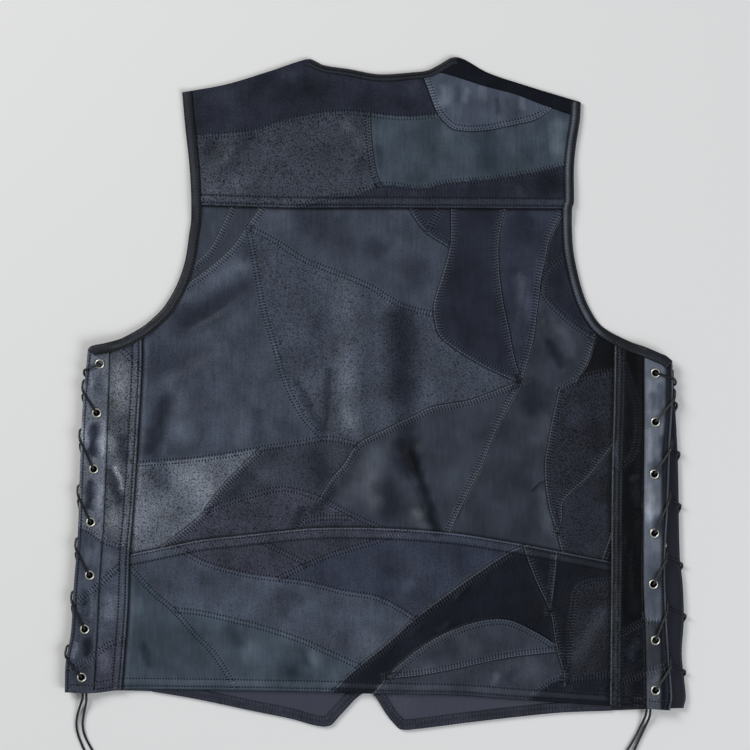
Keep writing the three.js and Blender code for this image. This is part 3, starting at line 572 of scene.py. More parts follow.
# Strokes of lighter and darker colour on the back: partly wear of the hide, partly painted sheen on its raised
# folds and painted shade in its creases. They also lift or sink the surface a little.
wear_and_sheen_strokes = table("x0 y0 x1 y1 wide light", [
    (-182, 96, -133, 125, 12, 0.35), (-189, 73, -133, 108, 15, -0.6), (-220, 39, -197, 22, 18, -0.35),
    (-223, -56, -209, -9, 9, -0.8), (-197, -35, -197, 5, 18, 0.25), (-130, -23, -132, -47, 8, 0.2),
    (-116, -47, -116, -18, 6, -0.25), (-77, 11, -53, -38, 4, -0.4), (-45, 22, -49, -35, 4, -0.4),
    (-65, -4, -63, 8, 12, 0.15), (-56, 73, -65, 39, 12, -0.15), (-30, 39, -25, -30, 11, 0.25),
    (-66, 173, -40, 170, 18, -0.3), (-94, 177, -90, 172, 14, 0.2), (-130, 149, -126, 140, 9, -0.2),
    (-22, 101, -25, -19, 12, 0.22), (28, 74, 28, 0, 15, -0.95), (-25, -28, -20, -34, 14, 0.25),
    (0, 150, 4, 146, 11, -0.3), (21, 151, 18, 140, 9, 0.2), (45, 126, 43, 112, 12, -0.4),
    (146, 175, 146, 168, 14, -0.3), (148, 114, 152, 79, 8, 0.4), (167, 127, 167, 118, 7, 0.25),
    (174, 52, 187, 31, 5, -0.6), (189, 64, 197, 42, 7, 0.45), (178, 74, 180, 66, 5, 0.3),
    (156, 2, 156, -8, 13, -0.4), (169, -24, 165, -45, 10, 0.25), (196, 87, 205, 75, 6, -0.35),
    (132, -37, 130, -44, 9, -0.25), (32, -24, 36, -72, 12, -0.55), (-1, -61, 0, -100, 12, 0.5),
    (230, 40, 232, 30, 10, -0.4), (222, -34, 224, -50, 11, -0.7), (202, -15, 200, -25, 9, 0.25),
    (-179, -82, -170, -90, 18, 0.3), (-227, -126, -222, -118, 16, 0.25), (-213, -86, -216, -78, 12, -0.5),
    (-140, -100, -129, -82, 8, -0.4), (-108, -83, -104, -80, 10, 0.2), (-58, -64, -50, -90, 11, -0.35),
    (-16, -80, -14, -86, 13, 0.35), (-25, -107, -20, -100, 10, 0.35), (-43, -100, -58, -117, 6, -0.4),
    (-74, -117, -79, -132, 5, -0.6), (-154, -130, -150, -128, 8, 0.15), (9, -94, 16, -120, 11, -0.7),
    (40, -121, 48, -132, 7, 0.5), (38, -62, 63, -138, 5, -1.0), (31, -52, 36, -72, 11, -0.5),
    (168, -101, 174, -133, 6, 0.4), (158, -95, 169, -87, 1.6, -0.7), (105, -116, 104, -128, 8, -0.15),
    (231, -90, 232, -100, 9, -0.7), (216, -154, 214, -163, 7, 0.35), (87, -83, 80, -90, 16, 0.15),
    (-93, -201, -75, -205, 7, -0.3), (-8, -251, -2, -247, 12, 0.35), (-58, -267, -62, -258, 6, 0.35),
    (-90, -275, -84, -278, 10, -0.4), (-70, -260, -69, -268, 5, -0.3), (-124, -250, -124, -262, 9, 0.2),
    (-145, -235, -135, -248, 7, -0.25), (-231, -251, -225, -271, 4.5, -0.45),
    (-236, -207, -236, -216, 6, 0.2), (87, -166, 80, -170, 18, -0.2), (31, -192, 36, -189, 6, 0.3),
    (11, -174, 16, -176, 8, -0.2), (85, -205, 92, -195, 3.5, -0.5), (72, -229, 63, -236, 3, 0.45),
    (91, -249, 98, -252, 12, 0.3), (55, -273, 40, -277, 7, 0.35), (157, -275, 148, -274, 12, 0.3),
    (122, -281, 118, -289, 3.5, 0.4), (139, -277, 134, -284, 5, -0.3), (228, -219, 200, -262, 8, 0.6),
    (216, -203, 210, -206, 10, -0.6), (231, -262, 230, -272, 7, -0.6), (-156, 299, -150, 300, 12, 0.35),
    (-87, 317, -80, 318, 9, 0.35), (-64, 303, -80, 300, 16, -0.4), (-163, 247, -158, 240, 9, -0.35),
    (-143, 244, -150, 231, 3.5, 0.4), (-128, 253, -124, 256, 7, -0.25), (-162, 204, -140, 208, 11, 0.35),
    (-120, 224, -124, 214, 6, 0.25), (-26, 268, -13, 253, 7, 0.35), (-10, 231, -12, 226, 8, -0.35),
    (5, 246, 7, 228, 3.5, -0.25), (38, 308, 36, 302, 10, 0.35), (31, 290, 36, 288, 8, -0.25),
    (72, 305, 70, 292, 6, 0.4), (93, 304, 92, 294, 3.5, 0.35), (84, 306, 84, 294, 3.5, -0.25),
    (148, 294, 149, 287, 3.5, 0.35), (124, 294, 124, 282, 3, -0.3), (110, 303, 109, 298, 5, 0.3),
    (112, 259, 118, 231, 14, -0.4), (72, 262, 70, 250, 9, 0.25), (184, 270, 184, 245, 8, 0.5),
    (171, 209, 178, 212, 13, -0.7), (100, 205, 120, 204, 8, -0.3), (49, 201, 40, 200, 8, 0.25),
    (146, 205, 146, 199, 4, 0.3), (-279, -32, -282, -58, 4.5, -1.3), (-283, -90, -285, -112, 4.5, -1.1),
    (-286, 22, -287, 12, 3, -0.6), (-270, -30, -271, -60, 3, 0.35), (-272, -92, -274, -112, 3, 0.35),
    (-277, -150, -279, -170, 3, 0.3), (-280, -205, -282, -222, 3, 0.35), (-292, -30, -292, -52, 2.5, 0.4),
    (-293, -94, -294, -112, 2.5, 0.4), (275, 12, 275, -18, 3, 0.25), (275, -38, 275, -66, 3.5, 0.35),
    (275, -92, 275, -124, 4, 0.35), (275, -206, 276, -222, 3, 0.2), (287, 8, 287, -14, 4, -0.5),
    (288, -44, 288, -60, 4, -0.6), (-289, -38, -285, -52, 3, 0.3), (-273, -46, -272, -56, 4, 0.2),
    (-275, 14, -276, 6, 7, -0.4), (-283, 14, -282, 4, 3, 0.35), (-255, 25, -255, -12, 9, 0.5),
    (-264, -45, -263, -55, 5, 0.5), (-252, -45, -249, -66, 5, -0.8), (-258, -73, -251, -94, 3.2, 0.7),
    (-265, -77, -255, -107, 4.5, -0.7), (-261, -122, -262, -130, 7, 0.4), (-264, -163, -266, -170, 7, 0.45),
    (-263, -208, -264, -220, 8, 0.5), (-275, -195, -278, -190, 5, -0.3), (-270, -264, -268, -272, 7, 0.4),
    (-285, -158, -287, -168, 5, 0.35), (-286, -247, -286, -258, 5, -1.1), (-298, -250, -300, -262, 3, 0.6),
    (-289, -200, -289, -208, 4, -0.7), (-294, -208, -296, -218, 3, 0.4), (261, -88, 264, -110, 5, 0.9),
    (259, -209, 262, -216, 8, 0.9), (242, -50, 243, -72, 2.2, 1.4), (241, -192, 242, -224, 2.2, 1.3),
    (241, -110, 241, -124, 2, 0.9), (241, -262, 241, -276, 2, 0.8), (256, -262, 262, -252, 5, 0.7),
    (279, -2, 278, -12, 5, -0.35), (281, -68, 282, -78, 6, -0.5), (284, -127, 286, -137, 6, -0.6),
    (284, -180, 286, -188, 5, -0.5), (285, -235, 288, -244, 6, -0.8), (277, -104, 276, -118, 6, 0.25),
    (278, -170, 278, -216, 12, -0.32), (284, -288, 286, -296, 7, 0.3)])
CLEAR = 2
BODY_SEAMS = [
    (CLEAR, [(-137, 200), (-141, 192), (-158, 156), (-168, 141), (-179, 132), (-194, 120)]),
    (CLEAR, [(-105, 200), (-110, 192), (-127, 168), (-140, 149), (-158, 132), (-176, 118), (-199, 103)]),
    (1, [(-126, 167), (-118, 125), (-111, 87), (-99, 46), (-89, 13), (-73, -20), (-50, -46)]),
    (-1, [(-126, 167), (-99, 153), (-71, 135), (-47, 125), (-7, 109), (21, 92), (39, 85), (60, 80)]),
    (-1, [(-262, -71), (-252, -71), (-235, -70), (-185, -66), (-147, -61), (-108, -54), (-73, -49),
          (-47, -45), (-16, -50)]),
    (-CLEAR, [(-54, -103), (-43, -85), (-31, -71), (-16, -50), (12, -35), (39, -22), (58, -13), (95, -6),
              (123, 4), (148, 14)]),
    (CLEAR, [(27, 200), (32, 191), (45, 170), (56, 159), (75, 147)]),
    (1, [(75, 200), (70, 190), (60, 174), (54, 161)]),
    (CLEAR, [(77, 202), (77, 192), (77, 157), (74, 138), (67, 114), (60, 90), (61, 72), (67, 57), (86, 42),
             (113, 26), (144, 12)]),
    (-CLEAR, [(136, 202), (134, 192), (126, 161), (125, 129), (129, 94), (135, 65), (141, 35), (148, 14)]),
    (-CLEAR, [(200, 202), (195, 192), (178, 161), (171, 133), (167, 111), (163, 79), (159, 52), (148, 14),
              (134, -13), (123, -35), (109, -70), (94, -100), (73, -145), (70, -154)]),
    (-1, [(203, 142), (193, 137), (178, 127), (171, 116), (170, 100), (178, 89), (196, 72), (221, 55)]),
    (-CLEAR, [(223, 72), (221, 57), (215, 35), (204, 14)]),
    (1, [(258, 24), (250, 23), (237, 22), (224, 20), (204, 14), (185, 4)]),
    (CLEAR, [(185, 4), (178, -28), (173, -56), (171, -71), (172, -92), (176, -116), (183, -139),
             (191, -170)]),
    (-CLEAR, [(254, -36), (246, -44), (237, -54), (216, -81), (198, -98), (189, -109), (188, -126),
              (184, -141)]),
    (CLEAR, [(249, -103), (238, -136), (226, -172), (222, -184)]),
    (CLEAR, [(-116, -56), (-147, -87), (-165, -109), (-177, -125), (-220, -158), (-234, -169)]),
    (-1, [(-170, -119), (-147, -109), (-120, -101), (-93, -95), (-67, -100), (-49, -107), (-22, -121),
          (24, -142), (36, -151)]),
    (-1, [(-84, -151), (-78, -140), (-68, -127), (-49, -124), (-22, -124)]),
]
BODY_PATCHES = [
    (-172, 165, "slate", 1.0, 0.1), (-147, 148, "slate", 0.92, 0.1), (-170, 40, "slate", 1.1, 0.25),
    (-60, 60, "slate", 1.1, 0.6), (-30, 150, "slate", 1.05, 0.2), (68, 162, "ink", 1.05, 0.2),
    (50, 182, "ink", 1.1, 0.2), (100, 120, "ink", 0.98, 0.05), (148, 110, "ink", 1.25, 0.2),
    (188, 165, "ink", 0.9, 0.2), (188, 105, "ink", 1.0, 0.25), (190, 45, "slate", 0.82, 0.08),
    (234, 42, "soot", 0.8, 0.1), (205, -40, "ink", 0.92, 0.9), (215, -125, "ink", 0.96, 0.7),
    (236, -156, "soot", 1.0, 0.2), (20, -85, "slate", 0.86, 0.05),
    (-80, -75, "slate", 0.9, 0.5), (-200, -110, "mist", 1.08, 0.7), (-100, -120, "plum", 1.05, 0.7),
    (-45, -130, "plum", 0.95, 0.5),
]

edge = {side: sideways(rows) for side, rows in edge_rows.items()}
princess = {side: sideways(rows) for side, rows in princess_rows.items()}
yoke_seam = upwards(yoke_rows)
band_seam = upwards(band_rows)


def along_segment(x, y, x0, y0, x1, y1):
    """How far points lie from a straight line between two ends."""
    run = np.array([x1 - x0, y1 - y0])
    t = np.clip(((x - x0) * run[0] + (y - y0) * run[1]) / run.dot(run), 0, 1)
    return np.hypot(x - x0 - run[0] * t, y - y0 - run[1] * t)


def strokes(rows, x, y, spread=1):
    """For each straight stroke of a table, what it adds at each place, most along its middle."""
    for x0, y0, x1, y1, wide, much in zip(*rows.values()):
        yield much * ease(1 - along_segment(x, y, x0, y0, x1, y1) / (wide * spread))


def fold_rise(x, y):
    rise = np.zeros(np.shape(x))
    for stroke in strokes(folds, x, y):
        rise = np.maximum(rise, stroke)
    return rise


WEAR_AND_SHEEN_SPREAD = 1.6
WEAR_AND_SHEEN_RISE = 1.1
WEAR_AND_SHEEN_CONTRAST = 1.45
WAVED = 0.8


def wear_and_sheen(x, y):
    """How much lighter, or darker below 0, the hide is at each place: partly wear, partly painted sheen on
    raised folds and painted shade in creases.
    """
    waved_x = x + WAVED * np.sin(0.33 * y + 2 * np.sin(0.19 * x))
    waved_y = y + WAVED * np.sin(0.29 * x + 2 * np.sin(0.16 * y))
    return sum(strokes(wear_and_sheen_strokes, waved_x, waved_y, WEAR_AND_SHEEN_SPREAD))


def crease_rise(x, y):
    return WEAR_AND_SHEEN_RISE * wear_and_sheen(x, y) + sum(strokes(creases, x, y))


OVERLAP_SIDE = (54, 30)
OVERLAP_TOP = (262, 60)
FACING_TOP = (-240, 42)
FACING_SIDE = (280, 30)
YOKE_LAP = ((20, 20), (62, 42))
BAND_LAP = ((64, 44), (34, 24))


def body_level(x, y):
    """How high the body lies: on two fronts in the middle, on the facings at its foot."""
    overlap = LAYER * up_to(np.abs(x), *OVERLAP_SIDE) * up_to(y, *OVERLAP_TOP)
    facing = (FACING_WALL + SEAM_GAP) * up_to(y, *FACING_TOP) * up_to(np.abs(x), *FACING_SIDE)
    sides = BACK_STRIP_LIFT * side_rise(edge, BACK_LIFT_START, x, y)
    return LAYER + overlap + facing + sides + fold_rise(x, y)


def lapped(away, below, above):
    """The rise of one layer over a seam, sloping away below it and above it."""
    return LAYER * up_to(-away, *below) * up_to(away, *above)


def yoke_rise(x, y):
    return lapped(y - yoke_seam(x), *YOKE_LAP)


def band_rise(x, y):
    return lapped(y - band_seam(x), *BAND_LAP)


def grow(labels, free):
    """Spreads labels into the free cells that touch them, until none is left to take."""
    while True:
        near = np.zeros_like(labels)
        for there, here in (((slice(1, None),), (slice(None, -1),)), ((slice(None, -1),), (slice(1, None),)),
                            ((slice(None), slice(1, None)), (slice(None), slice(None, -1))),
                            ((slice(None), slice(None, -1)), (slice(None), slice(1, None)))):
            near[here] = np.where(near[here] == 0, labels[there], near[here])
        taken = free & (labels == 0) & (near > 0)
        if not taken.any():
            return labels
        labels[taken] = near[taken]


def nearest(lines, x, y):
    """For each place, the signed distance to the nearest of some lines and the run along it."""
    points = np.vstack(lines)
    tangents = np.vstack([np.gradient(points_, axis=0) for points_ in lines])
    tangents /= np.linalg.norm(tangents, axis=1)[:, None]
    runs = np.concatenate([run_of(points_) for points_ in lines])
    tree = KDTree(len(points))
    for i, (px, py) in enumerate(points):
        tree.insert((px, py, 0), i)
    tree.balance()
    flat = np.stack([x.ravel(), y.ravel()], axis=1)
    found = np.array([tree.find((px, py, 0))[1] for px, py in flat])
    away = flat - points[found]
    tangent = tangents[found]
    across = tangent[:, 0] * away[:, 1] - tangent[:, 1] * away[:, 0]
    forth = (away * tangent).sum(axis=1)
    past = np.maximum(np.abs(forth) - LINE_STEP, 0)
    distance = np.where(across < 0, -1, 1) * np.hypot(across, past)
    return distance.reshape(x.shape), (runs[found] + forth).reshape(x.shape)


def offset(points, by):
    tangent = np.gradient(points, axis=0)
    tangent /= np.linalg.norm(tangent, axis=1)[:, None]
    return points + by * np.stack([-tangent[:, 1], tangent[:, 0]], axis=1)


FAR = 200.0
LAP_REACH = 12
ROW_REACH = 8
WEAR_AND_SHEEN_TINT = np.array([1.06, 1.0, 0.88])
EDGE_PULL = 0.55


def beyond(distance, limit):
    """A distance that is sent far off past a limit, so that no false line shows where it changes sign."""
    return np.where(np.abs(distance) > limit, np.sign(distance) * FAR, distance)


def patchwork(seams, patches, extra_rows, x, y):
    """What the sewing does at each place: lap distance, sewing-row distance and run, dye and grain."""
    laps = [curve(points, LINE_STEP)[::1 if side > 0 else -1] for side, points in seams]
    clear = [lap for lap, (side, _points) in zip(laps, seams) if abs(side) == CLEAR]
    rows = [offset(lap, by) for lap, (side, _points) in zip(laps, seams)
            for by in (LAP_ROWS if abs(side) == CLEAR else PLAIN_ROWS)] + extra_rows
    low_x, low_y = math.floor(x.min()) - 2, math.floor(y.min()) - 2
    shape = (math.ceil(y.max()) - low_y + 3, math.ceil(x.max()) - low_x + 3)
    cells = np.rint(y - low_y).astype(int), np.rint(x - low_x).astype(int)
    inside = np.zeros(shape, bool)
    for up in (-1, 0, 1):
        for over in (-1, 0, 1):
            inside[cells[0] + up, cells[1] + over] = True
    free = inside.copy()
    for lap in laps:
        for px, py in evenly(lap, 0.5):
            r, c = round(py - low_y), round(px - low_x)
            if 0 < r < shape[0] - 1 and 0 < c < shape[1] - 1:
                free[r, c] = free[r, c + 1] = free[r + 1, c] = False
    labels = np.zeros(shape, int)
    for i, (px, py, *_rest) in enumerate(patches):
        labels[round(py - low_y), round(px - low_x)] = i + 1
    labels = grow(labels, free)
    labels = grow(labels, np.ones(shape, bool))
    label = labels[cells] - 1
    dye = np.array([np.array(linear(DYES[dye])) * light**2 for _x, _y, dye, light, _grain in patches])[label]
    grain = np.array([patch[4] for patch in patches])[label]
    # The dye made lighter and darker by the strokes: wear, painted sheen and painted shade, with a slight tint
    # for each channel.
    dye = dye * np.exp(WEAR_AND_SHEEN_CONTRAST * wear_and_sheen(x, y)[..., None] * WEAR_AND_SHEEN_TINT)
    lap = nearest(clear, x, y)[0] if clear else np.full(x.shape, FAR)
    row, run = nearest(rows, x, y)
    pull = np.ones(x.shape)
    if extra_rows:
        pull[np.abs(nearest(extra_rows, x, y)[0]) < np.abs(row) + 0.01] = EDGE_PULL
    return {"lap": beyond(lap, LAP_REACH), "row": beyond(row, ROW_REACH), "run": run, "dye": dye,
            "grain": grain, "rows": rows, "pull": pull}


def ridge(away, middle, wide, high):
    """A soft ridge along a line, or a hollow where its height is below 0."""
    return high * np.exp(-((away - middle) / wide) ** 2)


def paint_shadow_and_highlight(sewn, *gaps):
    """Paints shadow into the dye in the gap beside a lapped edge, or below 0 paints a highlight of
    neutral grey-blue on a fold or edge, each as distance, middle, width and darkness."""
    for distance, middle, wide, dark in gaps:
        share = ridge(distance, middle, wide, dark)[..., None]
        painted_highlight = np.maximum(-share, 0) * np.array(linear((58, 62, 68)))
        sewn["dye"] = sewn["dye"] * (1 - np.maximum(share, 0)) + painted_highlight


LAP_HIGH = 0.45
LAP_START = (0.5, 1.4)
LAP_END = (11, 9)
LAP_GROOVE = (-0.9, 1.1, -0.3)
ROW_HOLLOW = (0, 1.0, -0.22)


def lap_relief(sewn):
    """The step of a lapped offcut and the pull of its sewing, in millimetres."""
    lap = sewn["lap"]
    step = LAP_HIGH * up_to(-lap, *LAP_START) * up_to(lap, *LAP_END)
    return step + ridge(lap, *LAP_GROOVE) + ridge(sewn["row"], *ROW_HOLLOW)


PEBBLE_SCALE = 720
PEBBLE_DEPTH = 0.7
PUCKER_WIDE, PUCKER_RISE = 1.1, 0.13
ROW_WIDE, ROW_DEPTH = 0.75, 0.25
STEP_OUT, STEP_WIDE, STEP_DEPTH = 0.5, 0.7, 0.8
SHADOW_OUT, SHADOW_WIDE, SHADOW_DARK = 0.4, 0.8, 0.75
TICK_LIFT, TICK_WIDE, TICK_LIGHT = 0.2, 1.0, 0.5
STREAK_STRETCH = (1, 0.12, 1)
SPECK_DARK = 2.4
ROW_GLINT_WIDE, ROW_GLINT_LIGHT = 1.7, 0.02
LAP_GLINT_IN, LAP_GLINT_WIDE, LAP_GLINT_LIGHT = 0.9, 0.5, 0.07
GLINT_TINT = (0.85, 1.0, 1.25)


def leather(name, sheen, roughness, coat):
    """Dyed hide: pebbled or smooth as its paint says, pulled in at each stitch, with painted shadow along each
    lap and painted glints on laps and puckers.
    """
    material, tree, shader = principled(name, linear((40, 42, 52)), roughness)
    place = place_on(tree)
    grain = read_paint(tree, "grain")
    split = tree.nodes.new("ShaderNodeSeparateXYZ")
    wire(tree, read_paint(tree, "sewn", "Vector"), split.inputs["Vector"])
    lap, row, run = split.outputs["X"], split.outputs["Y"], split.outputs["Z"]
    pebbles = tree.nodes.new("ShaderNodeTexVoronoi")
    pebbles.feature = "SMOOTH_F1"
    pebbles.inputs["Scale"].default_value = PEBBLE_SCALE
    pebbles.inputs["Smoothness"].default_value = 0.35
    wire(tree, place, pebbles.inputs["Vector"])
    wave = maths(tree, "COSINE", times(tree, run, 2 * math.pi / STITCH_PITCH))
    wave = times(tree, wave, read_paint(tree, "dye", "Alpha"))
    pebble = times(tree, pebbles.outputs["Distance"], -PEBBLE_DEPTH, grain)
    fine = times(tree, noise(tree, place, 1500, 3), 0.12)
    soft = times(tree, noise(tree, place, 130, 3), 0.5)
    pucker = times(tree, wave, bell(tree, row, PUCKER_WIDE), PUCKER_RISE)
    pull = times(tree, bell(tree, row, ROW_WIDE), -ROW_DEPTH)
    step = times(tree, bell(tree, plus(tree, lap, STEP_OUT), STEP_WIDE), -STEP_DEPTH)
    bumped(tree, shader, plus(tree, pebble, fine, soft, pucker, pull, step), MM, 0.8)

    dark = times(tree, bell(tree, plus(tree, lap, SHADOW_OUT), SHADOW_WIDE), SHADOW_DARK)
    # Painted light and shade on the puckers between stitches, stronger where the pull is.
    pucker_light_and_shade = times(tree, plus(tree, wave, TICK_LIFT), bell(tree, row, TICK_WIDE), TICK_LIGHT)
    stretched = tree.nodes.new("ShaderNodeMapping")
    stretched.inputs["Scale"].default_value = STREAK_STRETCH
    wire(tree, place, stretched.inputs["Vector"])
    mottle = blotches(tree, place, 30, 4, 1.5, 0.25)
    streak = blotches(tree, stretched.outputs[0], 330, 3, 0.6, 0.7)
    speck = maths(tree, "SUBTRACT", 1.0, times(tree, pebbles.outputs["Distance"], SPECK_DARK))
    speck = plus(tree, times(tree, speck, grain), 1.0)
    shade = tree.nodes.new("ShaderNodeVectorMath")
    shade.operation = "SCALE"
    wire(tree, read_paint(tree, "dye", "Color"), shade.inputs[0])
    light = times(tree, maths(tree, "SUBTRACT", 1.0, dark), plus(tree, pucker_light_and_shade, 1.0), mottle, streak, speck)
    wire(tree, light, shade.inputs["Scale"])

    # Painted glints, a little blue: on the crests of the puckers along each row and along each lapped raw
    # edge.
    row_glint = times(tree, maths(tree, "MAXIMUM", wave, 0.0), bell(tree, row, ROW_GLINT_WIDE), ROW_GLINT_LIGHT)
    lap_glint = times(tree, bell(tree, plus(tree, lap, -LAP_GLINT_IN), LAP_GLINT_WIDE), LAP_GLINT_LIGHT)
    painted_glint = tree.nodes.new("ShaderNodeVectorMath")
    painted_glint.operation = "SCALE"
    painted_glint.inputs[0].default_value = GLINT_TINT
    wire(tree, plus(tree, row_glint, lap_glint), painted_glint.inputs["Scale"])
    shade_with_glint = tree.nodes.new("ShaderNodeVectorMath")
    wire(tree, shade.outputs[0], shade_with_glint.inputs[0])
    wire(tree, painted_glint.outputs[0], shade_with_glint.inputs[1])
    wire(tree, shade_with_glint.outputs[0], shader.inputs["Base Color"])
    rough = plus(tree, blotches(tree, place, 60, 2, 0.16, roughness - 0.1), times(tree, grain, 0.08))
    wire(tree, rough, shader.inputs["Roughness"])
    shader.inputs["Specular IOR Level"].default_value = sheen
    shader.inputs["Coat Weight"].default_value = coat
    shader.inputs["Coat Roughness"].default_value = 0.38
    return material


flesh_side, flesh_tree, flesh_shader = principled("flesh_side", linear((46, 44, 46)), 0.95)
bumped(flesh_tree, flesh_shader, noise(flesh_tree, place_on(flesh_tree), 700, 4), 0.0008, 1.0)
back_leather = leather("back_leather", 0.17, 0.4, 0.0)

thread, _tree, thread_shader = principled("sewing_thread", linear((22, 26, 36)), 0.6)
thread_shader.inputs["Specular IOR Level"].default_value = 0.15


THREAD_HALF = 1.1
THREAD_SUNK = 0.12
THREAD_FORM = ((0.0, 0.0), (0.22, 0.36), (0.5, 0.46), (0.78, 0.36), (1.0, 0.0))


def stitches(name, rows, surface, keep):
    """Rows of sewing as short sunk lengths of thread, one to each stitch."""
    starts, ends = [], []
    for row in rows:
        run = run_of(row)
        centres = np.arange(STITCH_PITCH / 2, run[-1], STITCH_PITCH)
        for side, found in ((-THREAD_HALF, starts), (THREAD_HALF, ends)):
            found.append(np.stack([np.interp(centres + side, run, row[:, i]) for i in (0, 1)], axis=1))
    starts, ends = np.vstack(starts), np.vstack(ends)
    kept = keep((starts[:, 0] + ends[:, 0]) / 2, (starts[:, 1] + ends[:, 1]) / 2)
    starts, ends = starts[kept], ends[kept]
    along = (ends - starts) / np.linalg.norm(ends - starts, axis=1)[:, None]
    across = np.stack([-along[:, 1], along[:, 0]], axis=1)
    points = []
    for share, thick in THREAD_FORM:
        place = starts + (ends - starts) * share
        level = surface(place[:, 0], place[:, 1]) - THREAD_SUNK + 0.55 * thick
        corners = ((0, 0),) if thick == 0 else ((thick, 0), (0, thick), (-thick, 0), (0, -thick))
        for out, up in corners:
            points.append(np.column_stack([place + across * out, level + up]))
    count = len(starts)
    points = np.stack(points, axis=1).reshape(-1, 3)
    first, last = 0, 13
    ring = [[1 + 4 * r + i for i in range(4)] for r in range(3)]
    shape = [[first, ring[0][i], ring[0][(i + 1) % 4]] for i in range(4)]
    shape += [[ring[r][i], ring[r + 1][i], ring[r + 1][(i + 1) % 4], ring[r][(i + 1) % 4]]
              for r in range(2) for i in range(4)]
    shape += [[last, ring[2][(i + 1) % 4], ring[2][i]] for i in range(4)]
    faces = [[14 * n + i for i in face] for n in range(count) for face in shape]
    made = piece(name, points, faces, thread)


def sewn_paint(made, sewn, upper_count):
    pull = np.broadcast_to(sewn["pull"], sewn["dye"].shape[:-1])[..., None]
    dye = np.concatenate([sewn["dye"], pull], axis=-1)
    paint(made, "dye", "FLOAT_COLOR", dye, upper_count, (*linear((34, 34, 40)), 1))
    paint(made, "grain", "FLOAT", sewn["grain"], upper_count, 0.2)
    paint(made, "sewn", "FLOAT_VECTOR", np.stack([sewn["lap"], sewn["row"], sewn["run"]], axis=-1),
          upper_count, (9, 9, 0))


ARMHOLE_LAP = 0.08
LAP_SLOPE = 15


def body_side(side, lap):
    """The body's cut line at one side: it runs a lap's width in under the side panel."""
    foot = ARMHOLE_FOOT[side]
    return lambda y: np.where(y > foot, armhole[side](y) - ARMHOLE_LAP * lap,
                              princess[side](y) + lap * ease((foot - y) / LAP_SLOPE))


def within_armholes(x, y):
    return (x > armhole["left"](y) + 2) & (x < armhole["right"](y) - 2)


FLESH_DOWN = 0.25
FLESH_UP = 2
grid = plan_grid(body_side("left", -SEAM_LAP), body_side("right", SEAM_LAP), shifted(yoke_seam, SEAM_LAP),
                 shifted(band_seam, -SEAM_LAP), spread(480, 1.4), spread(345, 1.4))
body_sewn = patchwork(BODY_SEAMS, BODY_PATCHES, [], *grid)
under = body_level(*grid)
crease = crease_rise(*grid)
body_upper = np.maximum(under + LEATHER + crease + lap_relief(body_sewn), under + THINNEST)
body = panel("leather_back_body", grid, body_upper, under + np.clip(crease, -FLESH_DOWN, FLESH_UP),
             [back_leather, flesh_side], "back_body")
from_left = grid[0] - princess["left"](grid[1])
from_right = princess["right"](grid[1]) - grid[0]
below_armhole = ease((70 - grid[1]) / 8)
# Painted shadow in the gaps under the yoke's edge, above the band's edge and beside the side panels' edges,
# and a painted highlight beside the left one.
paint_shadow_and_highlight(body_sewn, (yoke_seam(grid[0]) - grid[1], 0.4, 1.7, 0.85),
       (grid[1] - band_seam(grid[0]), 0.3, 1.5, 0.8),
       (from_left, 0, 1.7, 0.85 * below_armhole), (from_left, 4, 1.8, -0.6 * below_armhole),
       (from_right, 1.8, 2.2, 0.85 * below_armhole))
sewn_paint(body, body_sewn, grid[0].size)
laid()


UNDERARM = 62
STITCHES_UNDER = 8


def body_surface(x, y):
    return body_level(x, y) + LEATHER + crease_rise(x, y) + 0.3


def body_shows(x, y):
    """Where the body isn't yet cut off by an armhole or covered by a side panel."""
    uncovered = (x > princess["left"](y) + 1) & (x < princess["right"](y) - 1)
    within = np.where(y > UNDERARM, within_armholes(x, y), uncovered)
    return within & (y < yoke_seam(x) + STITCHES_UNDER) & (y > band_seam(x) - STITCHES_UNDER)


stitches("stitches_back_body", body_sewn["rows"], body_surface, body_shows)


# The back yoke, a pieced panel lapped over the top of the body, its lower edge turned under
# and held by two long rows of sewing.
YOKE_ROWS = (3.0, 10.5)
SHOULDER_START = 54
shoulder_rows = table("x y", [
    (54, 324), (70, 321), (87, 316), (112, 308), (142, 300), (165, 291), (207, 276)])
YOKE_SEAMS = [
    (1, [(-202, 256), (-192, 257), (-179, 258), (-125, 262), (-96, 271), (-64, 279), (-26, 282), (26, 277),
         (63, 279)]),
    (-CLEAR, [(-4, 280), (-2, 247), (3, 219), (8, 209)]),
    (1, [(-80, 184), (-66, 190), (-39, 197), (-19, 199), (8, 209), (46, 206), (72, 211), (112, 215),
         (142, 219), (173, 225), (203, 233), (214, 236)]),
    (CLEAR, [(45, 336), (47, 326), (49, 319), (57, 297), (63, 282), (72, 271), (84, 264), (112, 264),
             (142, 270), (164, 276), (186, 292), (193, 300)]),
]
YOKE_PATCHES = [
    (-100, 300, "ink", 1.0, 0.3), (-100, 230, "slate", 0.95, 0.8), (60, 240, "teal", 1.12, 0.15),
    (100, 198, "ink", 1.0, 0.4), (110, 290, "slate", 1.22, 0.1),
]
shoulder_seam = upwards(shoulder_rows)


FOLD_ROUND = 1.5
DOUBLED_HIGH = 0.7
DOUBLED_PAST_ROW = 2.5
EDGE_ROW_HOLLOW = (1.0, -0.5)
NO_ROWS = (99,)


def turned_edge(away, rows):
    """The rise of a doubled, turned edge: rounded over at the fold, pulled in along its rows."""
    fold = -FOLD_ROUND * (1 - np.sqrt(1 - (1 - np.clip(away / FOLD_ROUND, 0, 1)) ** 2))
    doubled = DOUBLED_HIGH * up_to(away, rows[-1] + DOUBLED_PAST_ROW, 3)
    return fold + doubled + sum(ridge(away, row, *EDGE_ROW_HOLLOW) for row in rows)


def along_edge(edge_line, start, end, by):
    """A row of sewing that keeps its distance from an edge read from left to right."""
    x = np.linspace(start, end, 240)
    return offset(evenly(np.stack([x, edge_line(x)], axis=1), LINE_STEP), by)


